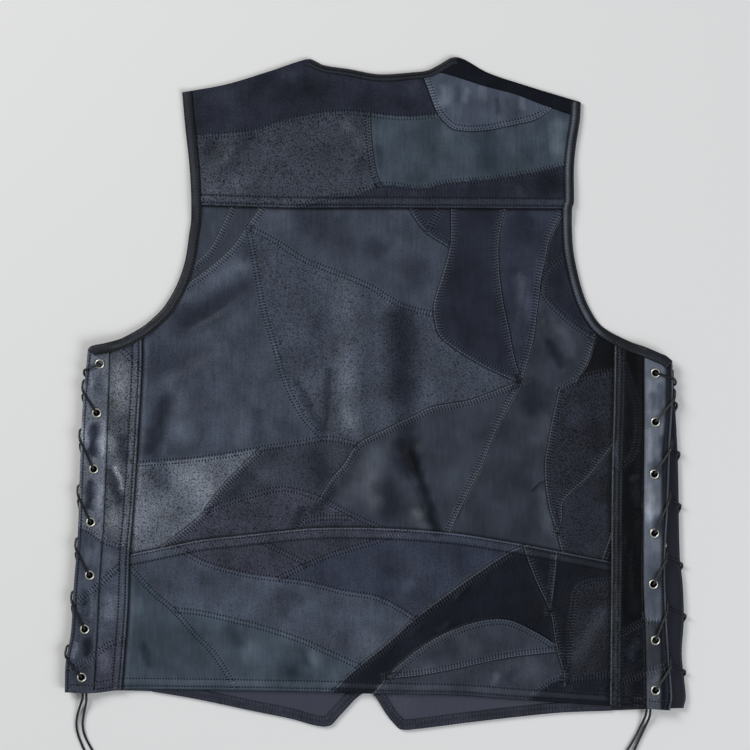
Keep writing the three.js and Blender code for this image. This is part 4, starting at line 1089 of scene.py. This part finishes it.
def yoke_top(x):
    return np.where(x > SHOULDER_START, shoulder_seam(x) - SEAM_GAP, top_edge(x))


def inset(side, by):
    sign = 1 if side == "left" else -1
    return lambda y: armhole[side](y) + sign * by


BOUND = 0.9
grid = plan_grid(inset("left", BOUND), inset("right", BOUND), yoke_top, yoke_seam,
                 spread(390, 1.3), spread(125, 1.3, 3, 13, 0.6))
yoke_sewing = [along_edge(yoke_seam, -183, 199, row) for row in YOKE_ROWS]
yoke_sewn = patchwork(YOKE_SEAMS, YOKE_PATCHES, yoke_sewing, *grid)
away = grid[1] - yoke_seam(grid[0])
under = body_level(*grid) + yoke_rise(*grid)
crease = crease_rise(*grid)
yoke_upper = under + LEATHER + crease + lap_relief(yoke_sewn) + turned_edge(away, YOKE_ROWS)
yoke = panel("leather_back_yoke", grid, yoke_upper, under,
             [back_leather, flesh_side], "back_yoke")
# Painted shade at the yoke's folded edge and just past its upper row, and painted highlights on the fold and
# on the doubled strip between the rows.
paint_shadow_and_highlight(yoke_sewn, (away, 0, 0.9, 0.5), (away, 1.5, 0.9, -0.35), (away, 6.8, 2.4, -0.3),
       (away, 11.2, 0.8, 0.4))
sewn_paint(yoke, yoke_sewn, grid[0].size)
laid()


def yoke_surface(x, y):
    rise = turned_edge(y - yoke_seam(x), NO_ROWS)
    return body_level(x, y) + yoke_rise(x, y) + LEATHER + crease_rise(x, y) + rise + 0.1


stitches("stitches_back_yoke", yoke_sewn["rows"], yoke_surface,
         lambda x, y: (y > yoke_seam(x) + 1) & (y < yoke_top(x) - 1) & within_armholes(x, y))


# The hem band, a pieced panel lapped over the foot of the body, its curved upper edge and its
# hem both turned under and sewn.
BAND_ROWS = (2.5, 10.5)
HEM_ROWS = (3.5, 11.0)
hem_rows = table("x y", [
    (-309, -298), (-280, -299), (-251, -296), (-200, -296), (-75, -298), (4, -300), (87, -302),
    (142, -306), (235, -312), (296, -316)])
BAND_SEAMS = [
    (1, [(-216, -144), (-205, -150), (-174, -167), (-147, -176), (-120, -182), (-97, -185), (-67, -189),
         (-31, -198), (0, -203), (22, -213), (41, -225)]),
    (1, [(-97, -185), (-67, -171), (-40, -160), (6, -146), (24, -139), (38, -132)]),
    (-1, [(-130, -134), (-122, -142), (-106, -151), (-84, -162), (-66, -171)]),
    (1, [(-264, -156), (-252, -167), (-243, -175), (-222, -198), (-200, -217), (-179, -241), (-159, -262),
         (-136, -299), (-130, -309)]),
    (1, [(-200, -216), (-174, -219), (-147, -225), (-111, -234), (-75, -246), (-49, -257), (-16, -272)]),
    (-CLEAR, [(-56, -310), (-46, -300), (-36, -291), (-24, -279), (13, -249), (41, -224), (87, -190),
              (133, -159), (158, -149), (172, -143)]),
    (-CLEAR, [(-10, -311), (-4, -303), (11, -285), (31, -266), (59, -246), (87, -233), (115, -226),
              (137, -227), (161, -238), (181, -250)]),
    (CLEAR, [(11, -285), (50, -281), (87, -274), (133, -264), (184, -258)]),
    (CLEAR, [(146, -138), (148, -147), (150, -155), (161, -185), (176, -218), (181, -246), (185, -264),
             (190, -281), (190, -289)]),
    (-CLEAR, [(184, -144), (184, -155), (183, -164), (181, -185), (177, -219)]),
    (-1, [(262, -184), (250, -185), (235, -187), (213, -190), (203, -198), (200, -216), (196, -240),
          (194, -268), (190, -281), (190, -289)]),
    (1, [(262, -280), (248, -280), (235, -281), (198, -286), (179, -288), (152, -309), (146, -317)]),
]
BAND_PATCHES = [
    (-150, -160, "plum", 1.0, 0.6), (-75, -150, "plum", 0.95, 0.5),
    (-100, -210, "slate", 1.15, 0.3), (-225, -240, "teal", 1.1, 0.1), (-110, -265, "teal", 1.18, 0.1),
    (40, -175, "ink", 1.4, 0.3), (100, -205, "soot", 1.15, 0.1),
    (20, -275, "ink", 1.1, 0.2), (100, -255, "slate", 0.88, 0.1), (80, -290, "slate", 0.84, 0.2),
    (172, -180, "soot", 1.15, 0.2), (192, -205, "soot", 1.1, 0.2), (215, -240, "ink", 0.8, 0.8),
    (205, -298, "soot", 1.2, 0.3),
]
hem = upwards(hem_rows)
grid = plan_grid(shifted(princess["left"], -SEAM_LAP), shifted(princess["right"], SEAM_LAP), band_seam, hem,
                 spread(495, 1.4), spread(155, 1.4, 13, 12, 0.7))
band_sewing = ([along_edge(band_seam, -252, 246, -row) for row in BAND_ROWS]
               + [along_edge(hem, -262, 248, row) for row in HEM_ROWS])
band_sewn = patchwork(BAND_SEAMS, BAND_PATCHES, band_sewing, *grid)
from_seam = band_seam(grid[0]) - grid[1]
from_hem = grid[1] - hem(grid[0])
under = body_level(*grid) + band_rise(*grid)
crease = crease_rise(*grid)
band_upper = (under + LEATHER + crease + lap_relief(band_sewn) + turned_edge(from_seam, BAND_ROWS)
              + turned_edge(from_hem, HEM_ROWS))
band = panel("leather_back_hem_band", grid, band_upper, under,
             [back_leather, flesh_side], "back_hem_band")
from_left = grid[0] - princess["left"](grid[1])
from_right = princess["right"](grid[1]) - grid[0]
# Painted highlights along the band's folded upper edge, on the doubled strips and above the hem, painted
# shadow past the upper row and at the hem edge, and the painted shadow and highlight beside the side panels'
# edges.
paint_shadow_and_highlight(band_sewn, (from_seam, 1.1, 0.7, -1.5), (from_seam, 6.5, 2.6, -0.3), (from_seam, 11.2, 0.8, 0.5),
       (from_hem, 0, 0.9, 0.5), (from_hem, 7.6, 2.2, -0.35), (from_left, 0, 1.7, 0.85),
       (from_left, 4, 1.8, -0.4), (from_right, 1.8, 2.2, 0.85))
sewn_paint(band, band_sewn, grid[0].size)
laid()


def band_surface(x, y):
    rise = turned_edge(band_seam(x) - y, NO_ROWS) + turned_edge(y - hem(x), NO_ROWS)
    return body_level(x, y) + band_rise(x, y) + LEATHER + crease_rise(x, y) + rise * 0.5


stitches("stitches_back_hem_band", band_sewn["rows"], band_surface,
         lambda x, y: (y < band_seam(x) - 1) & (y > hem(x) + 1)
         & (x > princess["left"](y)) & (x < princess["right"](y)))


# The side panels and the lacing strips outside them. Each side panel laps over the body along
# the long princess seam, its edge turned under, and the strip is doubled to hold the eyelets.
PRINCESS_LINES = (3.3, 10.0)
# Painted shadow and painted highlights across each princess edge, as middle, width and darkness, a highlight
# where it is below 0.
PRINCESS_SHADES = {
    "left": ((0, 1.0, 0.85), (2.0, 0.8, -0.8), (3.7, 0.8, 0.8), (6.4, 1.8, -0.4), (10.1, 0.8, 0.55)),
    "right": ((0.7, 0.75, -2.4), (2.0, 0.7, 0.5), (4.8, 1.8, -0.55), (9.4, 0.6, -0.7)),
}
SIDE_SEAMS = {
    "left": [
        (1, [(-306, -131), (-292, -134), (-284, -137), (-270, -147), (-249, -154), (-238, -156)]),
        (1, [(-236, -156), (-253, -170), (-272, -188), (-287, -201), (-306, -214)]),
        (-1, [(-238, -240), (-249, -245), (-266, -251), (-279, -261), (-296, -271), (-312, -276)]),
        (1, [(-264, 58), (-258, 50), (-244, 36), (-236, 28), (-228, 20)])],
    "right": [
        (1, [(234, 46), (246, 34), (251, 28), (263, -16), (260, -56), (248, -72), (240, -76), (230, -78)]),
        (-1, [(232, -252), (240, -246), (248, -240), (263, -230), (276, -227), (300, -229)]),
        (-1, [(232, -296), (240, -293), (248, -289), (271, -278), (290, -273), (304, -270)])],
}
SIDE_PATCHES = {
    "left": [(-256, -60, "mist", 0.92, 0.7), (-262, -165, "slate", 1.12, 0.3),
             (-262, -220, "slate", 1.14, 0.4), (-270, -285, "plum", 1.08, 0.5),
             (-240, 50, "slate", 1.1, 0.3)],
    "right": [(255, -150, "soot", 0.6, 0.3), (247, -20, "soot", 0.8, 0.5), (262, -265, "soot", 1.0, 0.6),
              (262, -305, "soot", 1.1, 0.6)],
}
STRIP_PATCHES = {
    "left": [(-284, -60, "mist", 1.14, 0.5), (-290, -165, "slate", 1.1, 0.2),
             (-292, -235, "slate", 1.02, 0.4), (-298, -290, "slate", 0.98, 0.5)],
    "right": [(279, -100, "mist", 1.08, 0.1), (276, -240, "mist", 0.6, 0.1), (280, -300, "mist", 0.75, 0.3)],
}
STRIP_EDGE_LIGHT = {"left": 0.3, "right": 1.9}
strip_rows = {
    "left": table("x y", [
        (-264, 52), (-265, 4), (-268, -80), (-270, -129), (-274, -185), (-276, -229), (-280, -298)]),
    "right": table("x y", [(270, 46), (270, -24), (269, -185), (271, -243), (272, -315)]),
}
underarm_rows = {
    "left": table("x y", [(-286, 44), (-282, 48), (-268, 51), (-254, 55), (-244, 60), (-232, 67)]),
    "right": table("x y", [(240, 60), (257, 52), (271, 47), (285, 41), (292, 38), (298, 33)]),
}
eyelet_rows = {
    "left": table("x y", [
        (-274, 30), (-277, -19), (-280, -75), (-283, -128), (-284, -181), (-289, -235), (-292, -283)]),
    "right": table("x y", [
        (281, 21), (281, -28), (280, -80), (280, -139), (279, -190), (281, -246), (281, -296)]),
}
EYELET_HOLE = 3.2
EDGE_ROW = 3.0
LAP_INNER = (26, 12)
LAP_OUTER = (14, 14)
STRIP_GROOVE = (0, 1.3, -0.9)
STRIP_WAVE = 0.9
SHEEN_BAND_EDGE = ((-300, -60, -20, 40), (286, 287, 290.5, 291))
STRIP_SINK = 0.6
strip_seam = {side: sideways(rows) for side, rows in strip_rows.items()}
underarm = {side: upwards(rows) for side, rows in underarm_rows.items()}


def lap_rise(x, y):
    over = np.minimum(x - princess["left"](y), princess["right"](y) - x)
    return up_to(-over, *LAP_INNER) * up_to(np.maximum(over, 0), *LAP_OUTER)


def side_level(x, y):
    return body_level(x, y) + lap_rise(x, y) * (LAYER + band_rise(x, y))


def down_edge(edge_line, start, end, by):
    """A row of sewing that keeps its distance from an edge read from top to bottom."""
    y = np.linspace(start, end, 240)
    return evenly(np.stack([edge_line(y) + by, y], axis=1), LINE_STEP)


def strip_pucker(side, x, y):
    """The strip draws up into soft waves between one eyelet and the next."""
    wave = np.zeros(np.shape(x))
    spots = eyelet_rows[side]
    for ex, ey in zip(spots["x"], spots["y"]):
        wave = wave + STRIP_WAVE * np.exp(-(((x - ex - 1) / 9) ** 2 + ((y - ey + 27) / 12) ** 2))
        wave = wave + ridge(np.hypot(x - ex, y - ey), 0, 8, -STRIP_SINK)
    return wave


def punched(made, spots, radius):
    """The same piece with round holes through it."""
    cutter_points, cutter_faces = [], []
    for ex, ey in zip(spots["x"], spots["y"]):
        points, faces = tube([(ex, ey, -5), (ex, ey, 30)], radius, 20)
        cutter_faces += [[i + 40 * (len(cutter_points)) for i in face] for face in faces]
        cutter_points.append(points)
    mesh = bpy.data.meshes.new("punch")
    mesh.from_pydata(((np.vstack(cutter_points) - MIDDLE) * MM).tolist(), [], cutter_faces)
    punch = bpy.data.objects.new("punch", mesh)
    bpy.context.collection.objects.link(punch)
    cut = made.modifiers.new("punched", "BOOLEAN")
    cut.operation = "DIFFERENCE"
    cut.solver = "FAST"
    cut.object = punch
    view = bpy.context.evaluated_depsgraph_get()
    mesh = bpy.data.meshes.new_from_object(made.evaluated_get(view))
    made.modifiers.clear()
    made.data = mesh
    bpy.data.objects.remove(punch)


side_leather = leather("side_leather", 0.14, 0.38, 0.0)
for side, sign in (("left", -1), ("right", 1)):
    def across(outer, inner, side=side):
        return (outer, inner) if side == "left" else (inner, outer)

    seam_side = shifted(strip_seam[side], -sign * SEAM_GAP / 2)
    left, right = across(seam_side, princess[side])
    grid = plan_grid(left, right, underarm[side], hem, spread(36, 0.8), spread(360, 1.5, 0, 12, 0.8))
    rows = [down_edge(princess[side], 52, -310, sign * by) for by in PRINCESS_LINES]
    rows += [along_edge(hem, *sorted((sign * 236, sign * 284)), row) for row in HEM_ROWS]
    sewn = patchwork(SIDE_SEAMS[side], SIDE_PATCHES[side], rows, *grid)
    away = (grid[0] - princess[side](grid[1])) * sign
    from_hem = grid[1] - hem(grid[0])
    from_strip = (seam_side(grid[1]) - grid[0]) * sign
    under = side_level(*grid)
    upper = (under + LEATHER + crease_rise(*grid) + lap_relief(sewn) + turned_edge(away, PRINCESS_LINES)
             + turned_edge(from_hem, HEM_ROWS) + ridge(from_strip, *STRIP_GROOVE))
    # Painted shadow and highlights across the princess edge, and painted shadow along the strip seam and the
    # hem edge.
    paint_shadow_and_highlight(sewn, *((away - middle, 0, wide, dark) for middle, wide, dark in PRINCESS_SHADES[side]),
           (from_strip, 0, 0.9, 0.7), (from_hem, 0, 0.9, 0.5))
    made = panel(f"leather_side_{side}", grid, upper, under,
                 [side_leather, flesh_side], f"back_side_{side}")
    sewn_paint(made, sewn, grid[0].size)
    laid()

    def side_surface(x, y):
        return side_level(x, y) + LEATHER + 0.35

    stitches(f"stitches_side_{side}", sewn["rows"], side_surface,
             lambda x, y: (y > hem(x) + 1) & (y < underarm[side](x) - 1)
             & ((x - princess[side](y)) * sign > 1) & ((seam_side(y) - x) * sign > 1))

    strip_side = shifted(strip_seam[side], sign * SEAM_GAP / 2)
    left, right = across(edge[side], strip_side)
    grid = plan_grid(left, right, underarm[side], hem, spread(28, 0.8), spread(350, 1.2))
    rows = [down_edge(edge[side], 40, -296, -sign * EDGE_ROW),
            along_edge(hem, *sorted((sign * 270, sign * 305)), 8)]
    sewn = patchwork(SIDE_SEAMS[side], STRIP_PATCHES[side], rows, *grid)
    from_edge = (edge[side](grid[1]) - grid[0]) * sign
    from_strip = (grid[0] - strip_side(grid[1])) * sign
    under = side_level(*grid)
    upper = (under + LEATHER + strip_pucker(side, *grid) + turned_edge(from_edge, (EDGE_ROW,))
             + lap_relief(sewn) + ridge(from_strip, *STRIP_GROOVE))
    if side == "right":
        # On the right strip the light dye of the inner part is a painted sheen band; past its edge the strip
        # turns to soot dye.
        soot = np.array(linear(DYES["soot"]))
        sheen_band_edge = np.interp(grid[1], *SHEEN_BAND_EDGE)
        sheen_band = ease((sheen_band_edge + 2 - grid[0]) / 4)[..., None]
        sewn["dye"] = sewn["dye"] * sheen_band + soot * (1 - sheen_band)
    # A painted highlight along the strip's folded outer edge, painted shadow at the strip seam and along the
    # edge row, and fainter painted highlights beside them.
    paint_shadow_and_highlight(sewn, (from_edge, 0.9, 0.8, -STRIP_EDGE_LIGHT[side]), (from_strip, 0, 0.8, 0.6),
           (from_strip, 1.8, 0.8, -0.3), (from_edge, EDGE_ROW, 0.9, 0.7), (from_edge, 5.2, 1.1, -0.25))
    made = panel(f"leather_lace_strip_{side}", grid, upper, under,
                 [side_leather, flesh_side], f"back_lace_strip_{side}")
    sewn_paint(made, sewn, grid[0].size)
    punched(made, eyelet_rows[side], EYELET_HOLE)
    laid()

    def strip_surface(x, y):
        return side_level(x, y) + LEATHER + 0.2

    stitches(f"stitches_lace_strip_{side}", sewn["rows"], strip_surface,
             lambda x, y: (y > hem(x) + 1) & (y < underarm[side](x) - 1)
             & ((edge[side](y) - x) * sign > 1) & ((x - strip_side(y)) * sign > 1))


# The side pieces of the fronts, which come out under the lacing strips and carry the other
# half of the eyelets. They are hide with the inside cloth up.
FRONT_EYELET_OUT = {"left": 6, "right": 8}
FRONT_EYELET_DOWN = (12, 6)
front_eyelets = {}
front_strip_leather, _tree, front_strip_shader = principled("front_strip_leather", linear((27, 29, 40)), 0.42)
front_strip_shader.inputs["Specular IOR Level"].default_value = 0.2
for side, sign in (("left", -1), ("right", 1)):
    spots = eyelet_rows[side]
    down = np.array([FRONT_EYELET_DOWN[0]] * (len(spots["x"]) - 1) + [FRONT_EYELET_DOWN[1]])
    front_eyelets[side] = {"x": spots["x"] + sign * FRONT_EYELET_OUT[side], "y": spots["y"] - down}
    left, right = ((front_edge[side], shifted(front_side(side), -SEAM_GAP)) if side == "left"
                   else (shifted(front_side(side), SEAM_GAP), front_edge[side]))
    grid = plan_grid(left, right, shifted(underarm[side], -FRONT_ARMHOLE_INSET), front_hem[side],
                     spread(75, 1.6), spread(350, 1.6))
    under = front_level(*grid)
    from_edge = (front_edge[side](grid[1]) - grid[0]) * sign
    upper = under + LEATHER + turned_edge(from_edge, (EDGE_ROW,)) * 0.6
    made = panel(f"leather_front_side_{side}", grid, upper, under, [front_strip_leather],
                 f"front_side_{side}")
    punched(made, front_eyelets[side], EYELET_HOLE)
    laid()


# The facings, strips of hide sewn inside the hems and front edges, which show in the notch
# below the back.
TRIM_WIDTH = 10
FACING_ROWS = (2.5, 8)
FACING_BULGE = 0.3
facing_lines = {
    "left": [(-222, -298), (-180, -305), (-123, -317), (-84, -325), (-58, -332), (-44, -332), (-34, -322),
             (-18, -305), (-8, -298)],
    "right": [(1, -302), (12, -320), (20, -330), (28, -336), (47, -335), (94, -329), (146, -323), (188, -319),
              (238, -317)],
}


def ribbon(points, width, inward, step):
    """Plan points of a strip beside a line, as x and y with a row along each of its lines."""
    outer = curve(points, step)
    across_count = max(4, round(width / 0.8))
    rows = np.stack([offset(outer, inward * width * share) for share in np.linspace(0, 1, across_count + 1)])
    away = np.repeat(np.linspace(0, width, across_count + 1)[:, None], len(outer), 1)
    return rows[:, :, 0], rows[:, :, 1], away


UNLAPPED = 9.0


def dye_plainly(made, colour, shade, grain, row, run, pull=EDGE_PULL):
    """Paints a piece that is cut from one hide of one dye."""
    dye = np.array(linear(colour)) * np.broadcast_to(shade, row.shape)[..., None]
    sewn_paint(made, {"dye": dye, "grain": np.full(row.shape, grain), "lap": np.full(row.shape, UNLAPPED),
                      "row": row, "run": run, "pull": pull}, row.size)


for side in ("left", "right"):
    level = front_level if side == "left" else upper_front_level
    x, y, away = ribbon(facing_lines[side], TRIM_WIDTH, 1, 1.2)
    under = level(x, y) + LAYER + 0.1
    upper = under + FACING_WALL + FACING_BULGE * np.sin(np.pi * np.clip(away / TRIM_WIDTH, 0, 1)) ** 0.5
    made = panel(f"leather_facing_{side}", (x, y), upper, under, [side_leather], f"front_facing_{side}")
    outer = curve(facing_lines[side], LINE_STEP)
    row, run = nearest([offset(outer, by) for by in FACING_ROWS], x, y)
    dye_plainly(made, DYES["plum"], 0.7, 0.3, row, run, 0.7)
    laid(float(run_of(curve(facing_lines[side], 3))[-1]))


# The strip of the right front that turns over the shoulder on to the back, plain smooth hide
# with its lower edge turned under.
STRIP_START = 68.0
STRIP_LONG = 146
PADDED = 0.7
ROLLED_OFF = 0.9
x, y = plan_grid(lambda at: np.full(np.shape(at), STRIP_START), inset("right", BOUND), top_edge, shoulder_seam,
                 spread(140, 1.2), spread(16, 0.6))
from_seam = y - shoulder_seam(x)
from_top = top_edge(x) - y
under = body_level(x, y)
upper = (under + LEATHER + PADDED + turned_edge(from_seam, NO_ROWS) * 0.5
         - ROLLED_OFF * up_to(from_top, 3, 3))
made = panel("leather_shoulder_strip_right", (x, y), upper, under, [back_leather, flesh_side],
             "shoulder_strip_right")
dye_plainly(made, DYES["soot"], 1.1, 0.15, np.full(x.shape, UNLAPPED), x * 0)
laid(STRIP_LONG)


# The bindings of the neck and of the armholes, narrow strips of hide wrapped round the raw
# edges and sewn through near their inner edge.
NECK_TRIM_WIDTH = 7
TRIM_SPARE = 0.7
neck_line = [
    (-63, 335), (-50, 329), (-24, 325), (5, 320), (40, 322), (54, 324), (66, 330), (76, 336), (83, 337)]


def trim_level(x, y):
    outside = np.maximum(princess["left"](y) - x, x - princess["right"](y))
    return (body_level(x, y) + LAYER + np.maximum(yoke_rise(x, y), LAYER * lap_rise(x, y))
            + TRIM_SPARE * ease(outside / 10))


def wrapped(points, width, inward):
    """A binding as a closed sheet wrapped round an edge: over the top, round and back beneath."""
    profile = [(width, 0.05), (width - 0.3, 0.8), (width - 1.2, 1.0), (width - 2.6, 0.75), (width - 4, 1.3),
               (0.45 * width, 1.5), (0.25 * width, 1.4), (1.0, 0.9), (0.2, 0.1), (-0.15, -1.0), (-0.1, -2.0),
               (0.3, -2.9), (1.4, -3.35), (0.5 * width, -3.4), (0.5 * width, -3.1), (1.5, -2.95), (0.9, -2.4),
               (0.8, -1.2), (0.9, -0.2), (2.0, 0.1)]
    outer = curve(points, LINE_STEP)
    rings = [offset(outer, inward * out) for out, _rise in profile]
    base = trim_level(outer[:, 0], outer[:, 1])
    inner = offset(outer, inward * width)
    base_inner = trim_level(inner[:, 0], inner[:, 1])
    level = [np.maximum(base + (base_inner - base) * np.clip(out / width, 0, 1) + rise, 0.2)
             for out, rise in profile]
    points = np.concatenate([np.column_stack([ring, high]) for ring, high in zip(rings, level)])
    count = len(outer)
    sides = len(profile)
    faces = [[s * count + i, s * count + i + 1, (s + 1) % sides * count + i + 1, (s + 1) % sides * count + i]
             for s in range(sides) for i in range(count - 1)]
    if inward > 0:
        faces = [face[::-1] for face in faces]
    ends = [[s * count for s in range(sides)], [s * count + count - 1 for s in range(sides)][::-1]]
    faces += ends if inward < 0 else [end[::-1] for end in ends]
    flat = np.concatenate([[out] * count for out, _rise in profile])
    run = np.tile(np.arange(count) * np.linalg.norm(outer[1] - outer[0]), sides)
    return points, faces, flat, run


BINDING_PLACES = (0.2, 1.0, 2.5, 4.5, 6.0, 7.4, 8.8, 10.0)
BINDING_DYE = (44, 48, 55)
BINDING_ROW = 2.6
BINDING_SHADES = {
    "neck": (0.5, 0.6, 0.4, 0.6, 0.4, 0.4, 0.4, 0.4),
    "armhole_left": (0.6, 0.35, 0.8, 1.1, 0.8, 0.2, 0.12, 0.12),
    "armhole_right": (0.3, 0.8, 0.1, 1.1, 2.8, 2.2, 0.12, 0.1),
}
BINDING_SIDE_LIGHT = {"neck": 1.0, "armhole_left": 0.7, "armhole_right": 0.1}
binding_leather = leather("binding_leather", 0.18, 0.42, 0.0)
left_line, right_line = (
    list(zip(*armhole_rows[side].values()))
    + sorted(zip(*underarm_rows[side].values()), reverse=side == "left")[1:] for side in ("left", "right"))
for name, points, width, inward, node in (
        ("neck", neck_line, NECK_TRIM_WIDTH, -1, "neck_binding"),
        ("armhole_left", left_line, TRIM_WIDTH, 1, "armhole_binding_left"),
        ("armhole_right", right_line, TRIM_WIDTH, -1, "armhole_binding_right")):
    verts, faces, away, run = wrapped(points, width, inward)
    made = piece(f"binding_{name}", verts, faces, binding_leather)
    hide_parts(node)
    # Painted light and shade across each binding: highlights on its crest and folds, shade between them; past
    # the side seam the armhole bindings' painted light and shade fade toward an even tone.
    shade = np.interp(away, BINDING_PLACES, BINDING_SHADES[name])
    shade = 0.5 + (shade - 0.5) * np.interp(np.abs(verts[:, 0]), (222, 240), (1, BINDING_SIDE_LIGHT[name]))
    dye_plainly(made, BINDING_DYE, shade, 0.25, away - (width - BINDING_ROW), run)


# The eyelets, rolled rings of tarnished brass set through both lacing edges, each with a
# flange on top and a short barrel that has gone black inside.
EYELET_BORE = 2.45
EYELET_FLANGE = 4.8
EYELET_SIDES = 28
brass, brass_tree, brass_shader = principled("tarnished_brass", linear((205, 203, 192)), 0.3)
brass_shader.inputs["Metallic"].default_value = 0.7
blackened, _tree, blackened_shader = principled("blackened_brass", linear((16, 16, 17)), 0.7)
blackened_shader.inputs["Specular IOR Level"].default_value = 0.1
FUNNEL_BANDS = 4
brass_rough = blotches(brass_tree, place_on(brass_tree), 500, 3, 0.3, 0.15)
wire(brass_tree, brass_rough, brass_shader.inputs["Roughness"])


def ring(x, y, level):
    """A rolled flange on a short barrel, turned about its hole."""
    profile = [(EYELET_BORE, -0.5), (EYELET_BORE, 0.8), (2.75, 1.3), (3.1, 1.8), (3.35, 2.15), (3.6, 2.4),
               (4.0, 2.5), (4.4, 2.34), (4.7, 2.0), (EYELET_FLANGE, 1.72), (4.5, 1.6), (3.25, 1.5),
               (2.85, 0.9), (2.85, -0.5)]
    turn = np.linspace(0, 2 * math.pi, EYELET_SIDES, endpoint=False)
    points = np.concatenate([np.column_stack([x + r * np.cos(turn), y + r * np.sin(turn),
                                              np.full(EYELET_SIDES, level + z)]) for r, z in profile])
    sides = len(profile)
    faces = []
    for s in range(sides):
        here, above = s * EYELET_SIDES, (s + 1) % sides * EYELET_SIDES
        for i in range(EYELET_SIDES):
            beside = (i + 1) % EYELET_SIDES
            faces.append([here + i, above + i, above + beside, here + beside])
    return points, faces


for layer, spots_of, level in (("back", eyelet_rows, side_level), ("front", front_eyelets, front_level)):
    for side in ("left", "right"):
        for k, (x, y) in enumerate(zip(spots_of[side]["x"], spots_of[side]["y"])):
            made = piece(f"brass_{layer}_{side}_{k + 1}", *ring(x, y, float(level(x, y))), brass)
            made.data.materials.append(blackened)
            made.data.polygons.foreach_set("material_index", [
                int(i < FUNNEL_BANDS * EYELET_SIDES) for i in range(len(made.data.polygons))])
            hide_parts(f"eyelet_{layer}_{side}_{k + 1}")


# The side laces: one waxed cord a side, down through an eyelet of the back, round the edge and
# up through one of the front, criss-cross from the armhole to the hem.
LACE_BENEATH = 1.38
LACE_LOW_GAP = 6.3
LACE_HIGH_GAP = 7.1
LACE_OUTSIDE = 9.3
LACE_ON_TOP = 11.5
LACE_OVER_EYELET = 12.5
LACE_CLEAR = LACE / 2 + 0.55
LACE_BEND = 2.4
OVER_BACK_EDGE = (17, 23, 27)
ROUND_FRONT_EDGE = (12, 19, 31, 34.5)
TOP_BAR = (6, 9, 12)
LACE_ENDS = {
    "left": ((-291.1, -300.5, 6.9), (-287.7, -300.5, 6.3)),
    "right": ((276.3, -316.5, 6.7), (272.5, -316.5, 6.3)),
}


def rounded(corners, radius):
    """A line through corner points with each corner rounded off."""
    corners = [np.array(c, float) for c in corners]
    points = [corners[0]]
    for before, here, after in zip(corners, corners[1:], corners[2:]):
        back, forth = before - here, after - here
        long_back, long_forth = np.linalg.norm(back), np.linalg.norm(forth)
        bend = math.pi - math.acos(np.clip(back.dot(forth) / (long_back * long_forth), -1, 1))
        reach = min(radius * math.tan(bend / 2), long_back * 0.45, long_forth * 0.45)
        start, end = here + back / long_back * reach, here + forth / long_forth * reach
        for t in np.linspace(0, 1, 5):
            points.append(start * (1 - t) ** 2 + 2 * here * t * (1 - t) + end * t**2)
    points.append(corners[-1])
    kept = [points[0]]
    for point in points[1:]:
        if np.linalg.norm(point - kept[-1]) > 0.05:
            kept.append(point)
    return kept


def lace_line(side, sign):
    """The lace's middle line, from the free end at a front eyelet to the one at a back eyelet."""
    back, front = eyelet_rows[side], front_eyelets[side]
    count = len(back["x"])

    def back_edge(y):
        return float(edge[side](y)) + sign * LACE_CLEAR

    def face_edge(y):
        return float(front_edge[side](y)) + sign * LACE_CLEAR

    def down_back(k):
        return [(back["x"][k], back["y"][k], LACE_OVER_EYELET), (back["x"][k], back["y"][k], LACE_LOW_GAP)]

    def up_front(k):
        return [(front["x"][k], front["y"][k], LACE_BENEATH), (front["x"][k], front["y"][k], LACE_HIGH_GAP)]

    def over_back(k):
        near, beside, above = (back["y"][k] - down for down in OVER_BACK_EDGE)
        return [(back_edge(near), near, LACE_HIGH_GAP), (back_edge(beside), beside, LACE_OUTSIDE),
                (back_edge(above) - sign, above, LACE_ON_TOP)]

    def round_front(k):
        level, below, near, beneath = (back["y"][k] - down for down in ROUND_FRONT_EDGE)
        beside = sign * (FRONT_EYELET_OUT[side] - EYELET_FLANGE - LACE / 2 - SEAM_GAP)
        return [(back["x"][k] + beside, level, LACE_LOW_GAP),
                (back["x"][k] + beside + 2.5 * sign, below, LACE_LOW_GAP),
                (face_edge(near), near, LACE_LOW_GAP), (face_edge(beneath), beneath, LACE_BENEATH)]

    def strand(on_back):
        places = []
        for k in range(count):
            here = (k % 2 == 0) == on_back
            places += down_back(k) if here else up_front(k)
            if k + 1 < count:
                places += round_front(k) if here else over_back(k)
        return places

    above, beside, beneath = (back["y"][0] - down for down in TOP_BAR)
    outermost = max if sign > 0 else min
    bar = [(face_edge(beneath), beneath, LACE_BENEATH),
           (outermost(back_edge(beside), face_edge(beside)), beside, LACE_LOW_GAP),
           (back_edge(above) - 0.4 * sign, above, LACE_ON_TOP)]
    front_end, back_end = LACE_ENDS[side]

    def tail(end):
        return [(end[0], end[1] + 2 * LACE, end[2]), end]

    return (tail(front_end)[::-1] + strand(False)[::-1] + bar + strand(True) + tail(back_end))


for side, sign in (("left", -1), ("right", 1)):
    lace = rounded(lace_line(side, sign), LACE_BEND)
    made = piece(f"cord_lace_{side}", *tube(lace, LACE / 2, 10), cord_wax)
    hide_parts(f"lace_{side}")
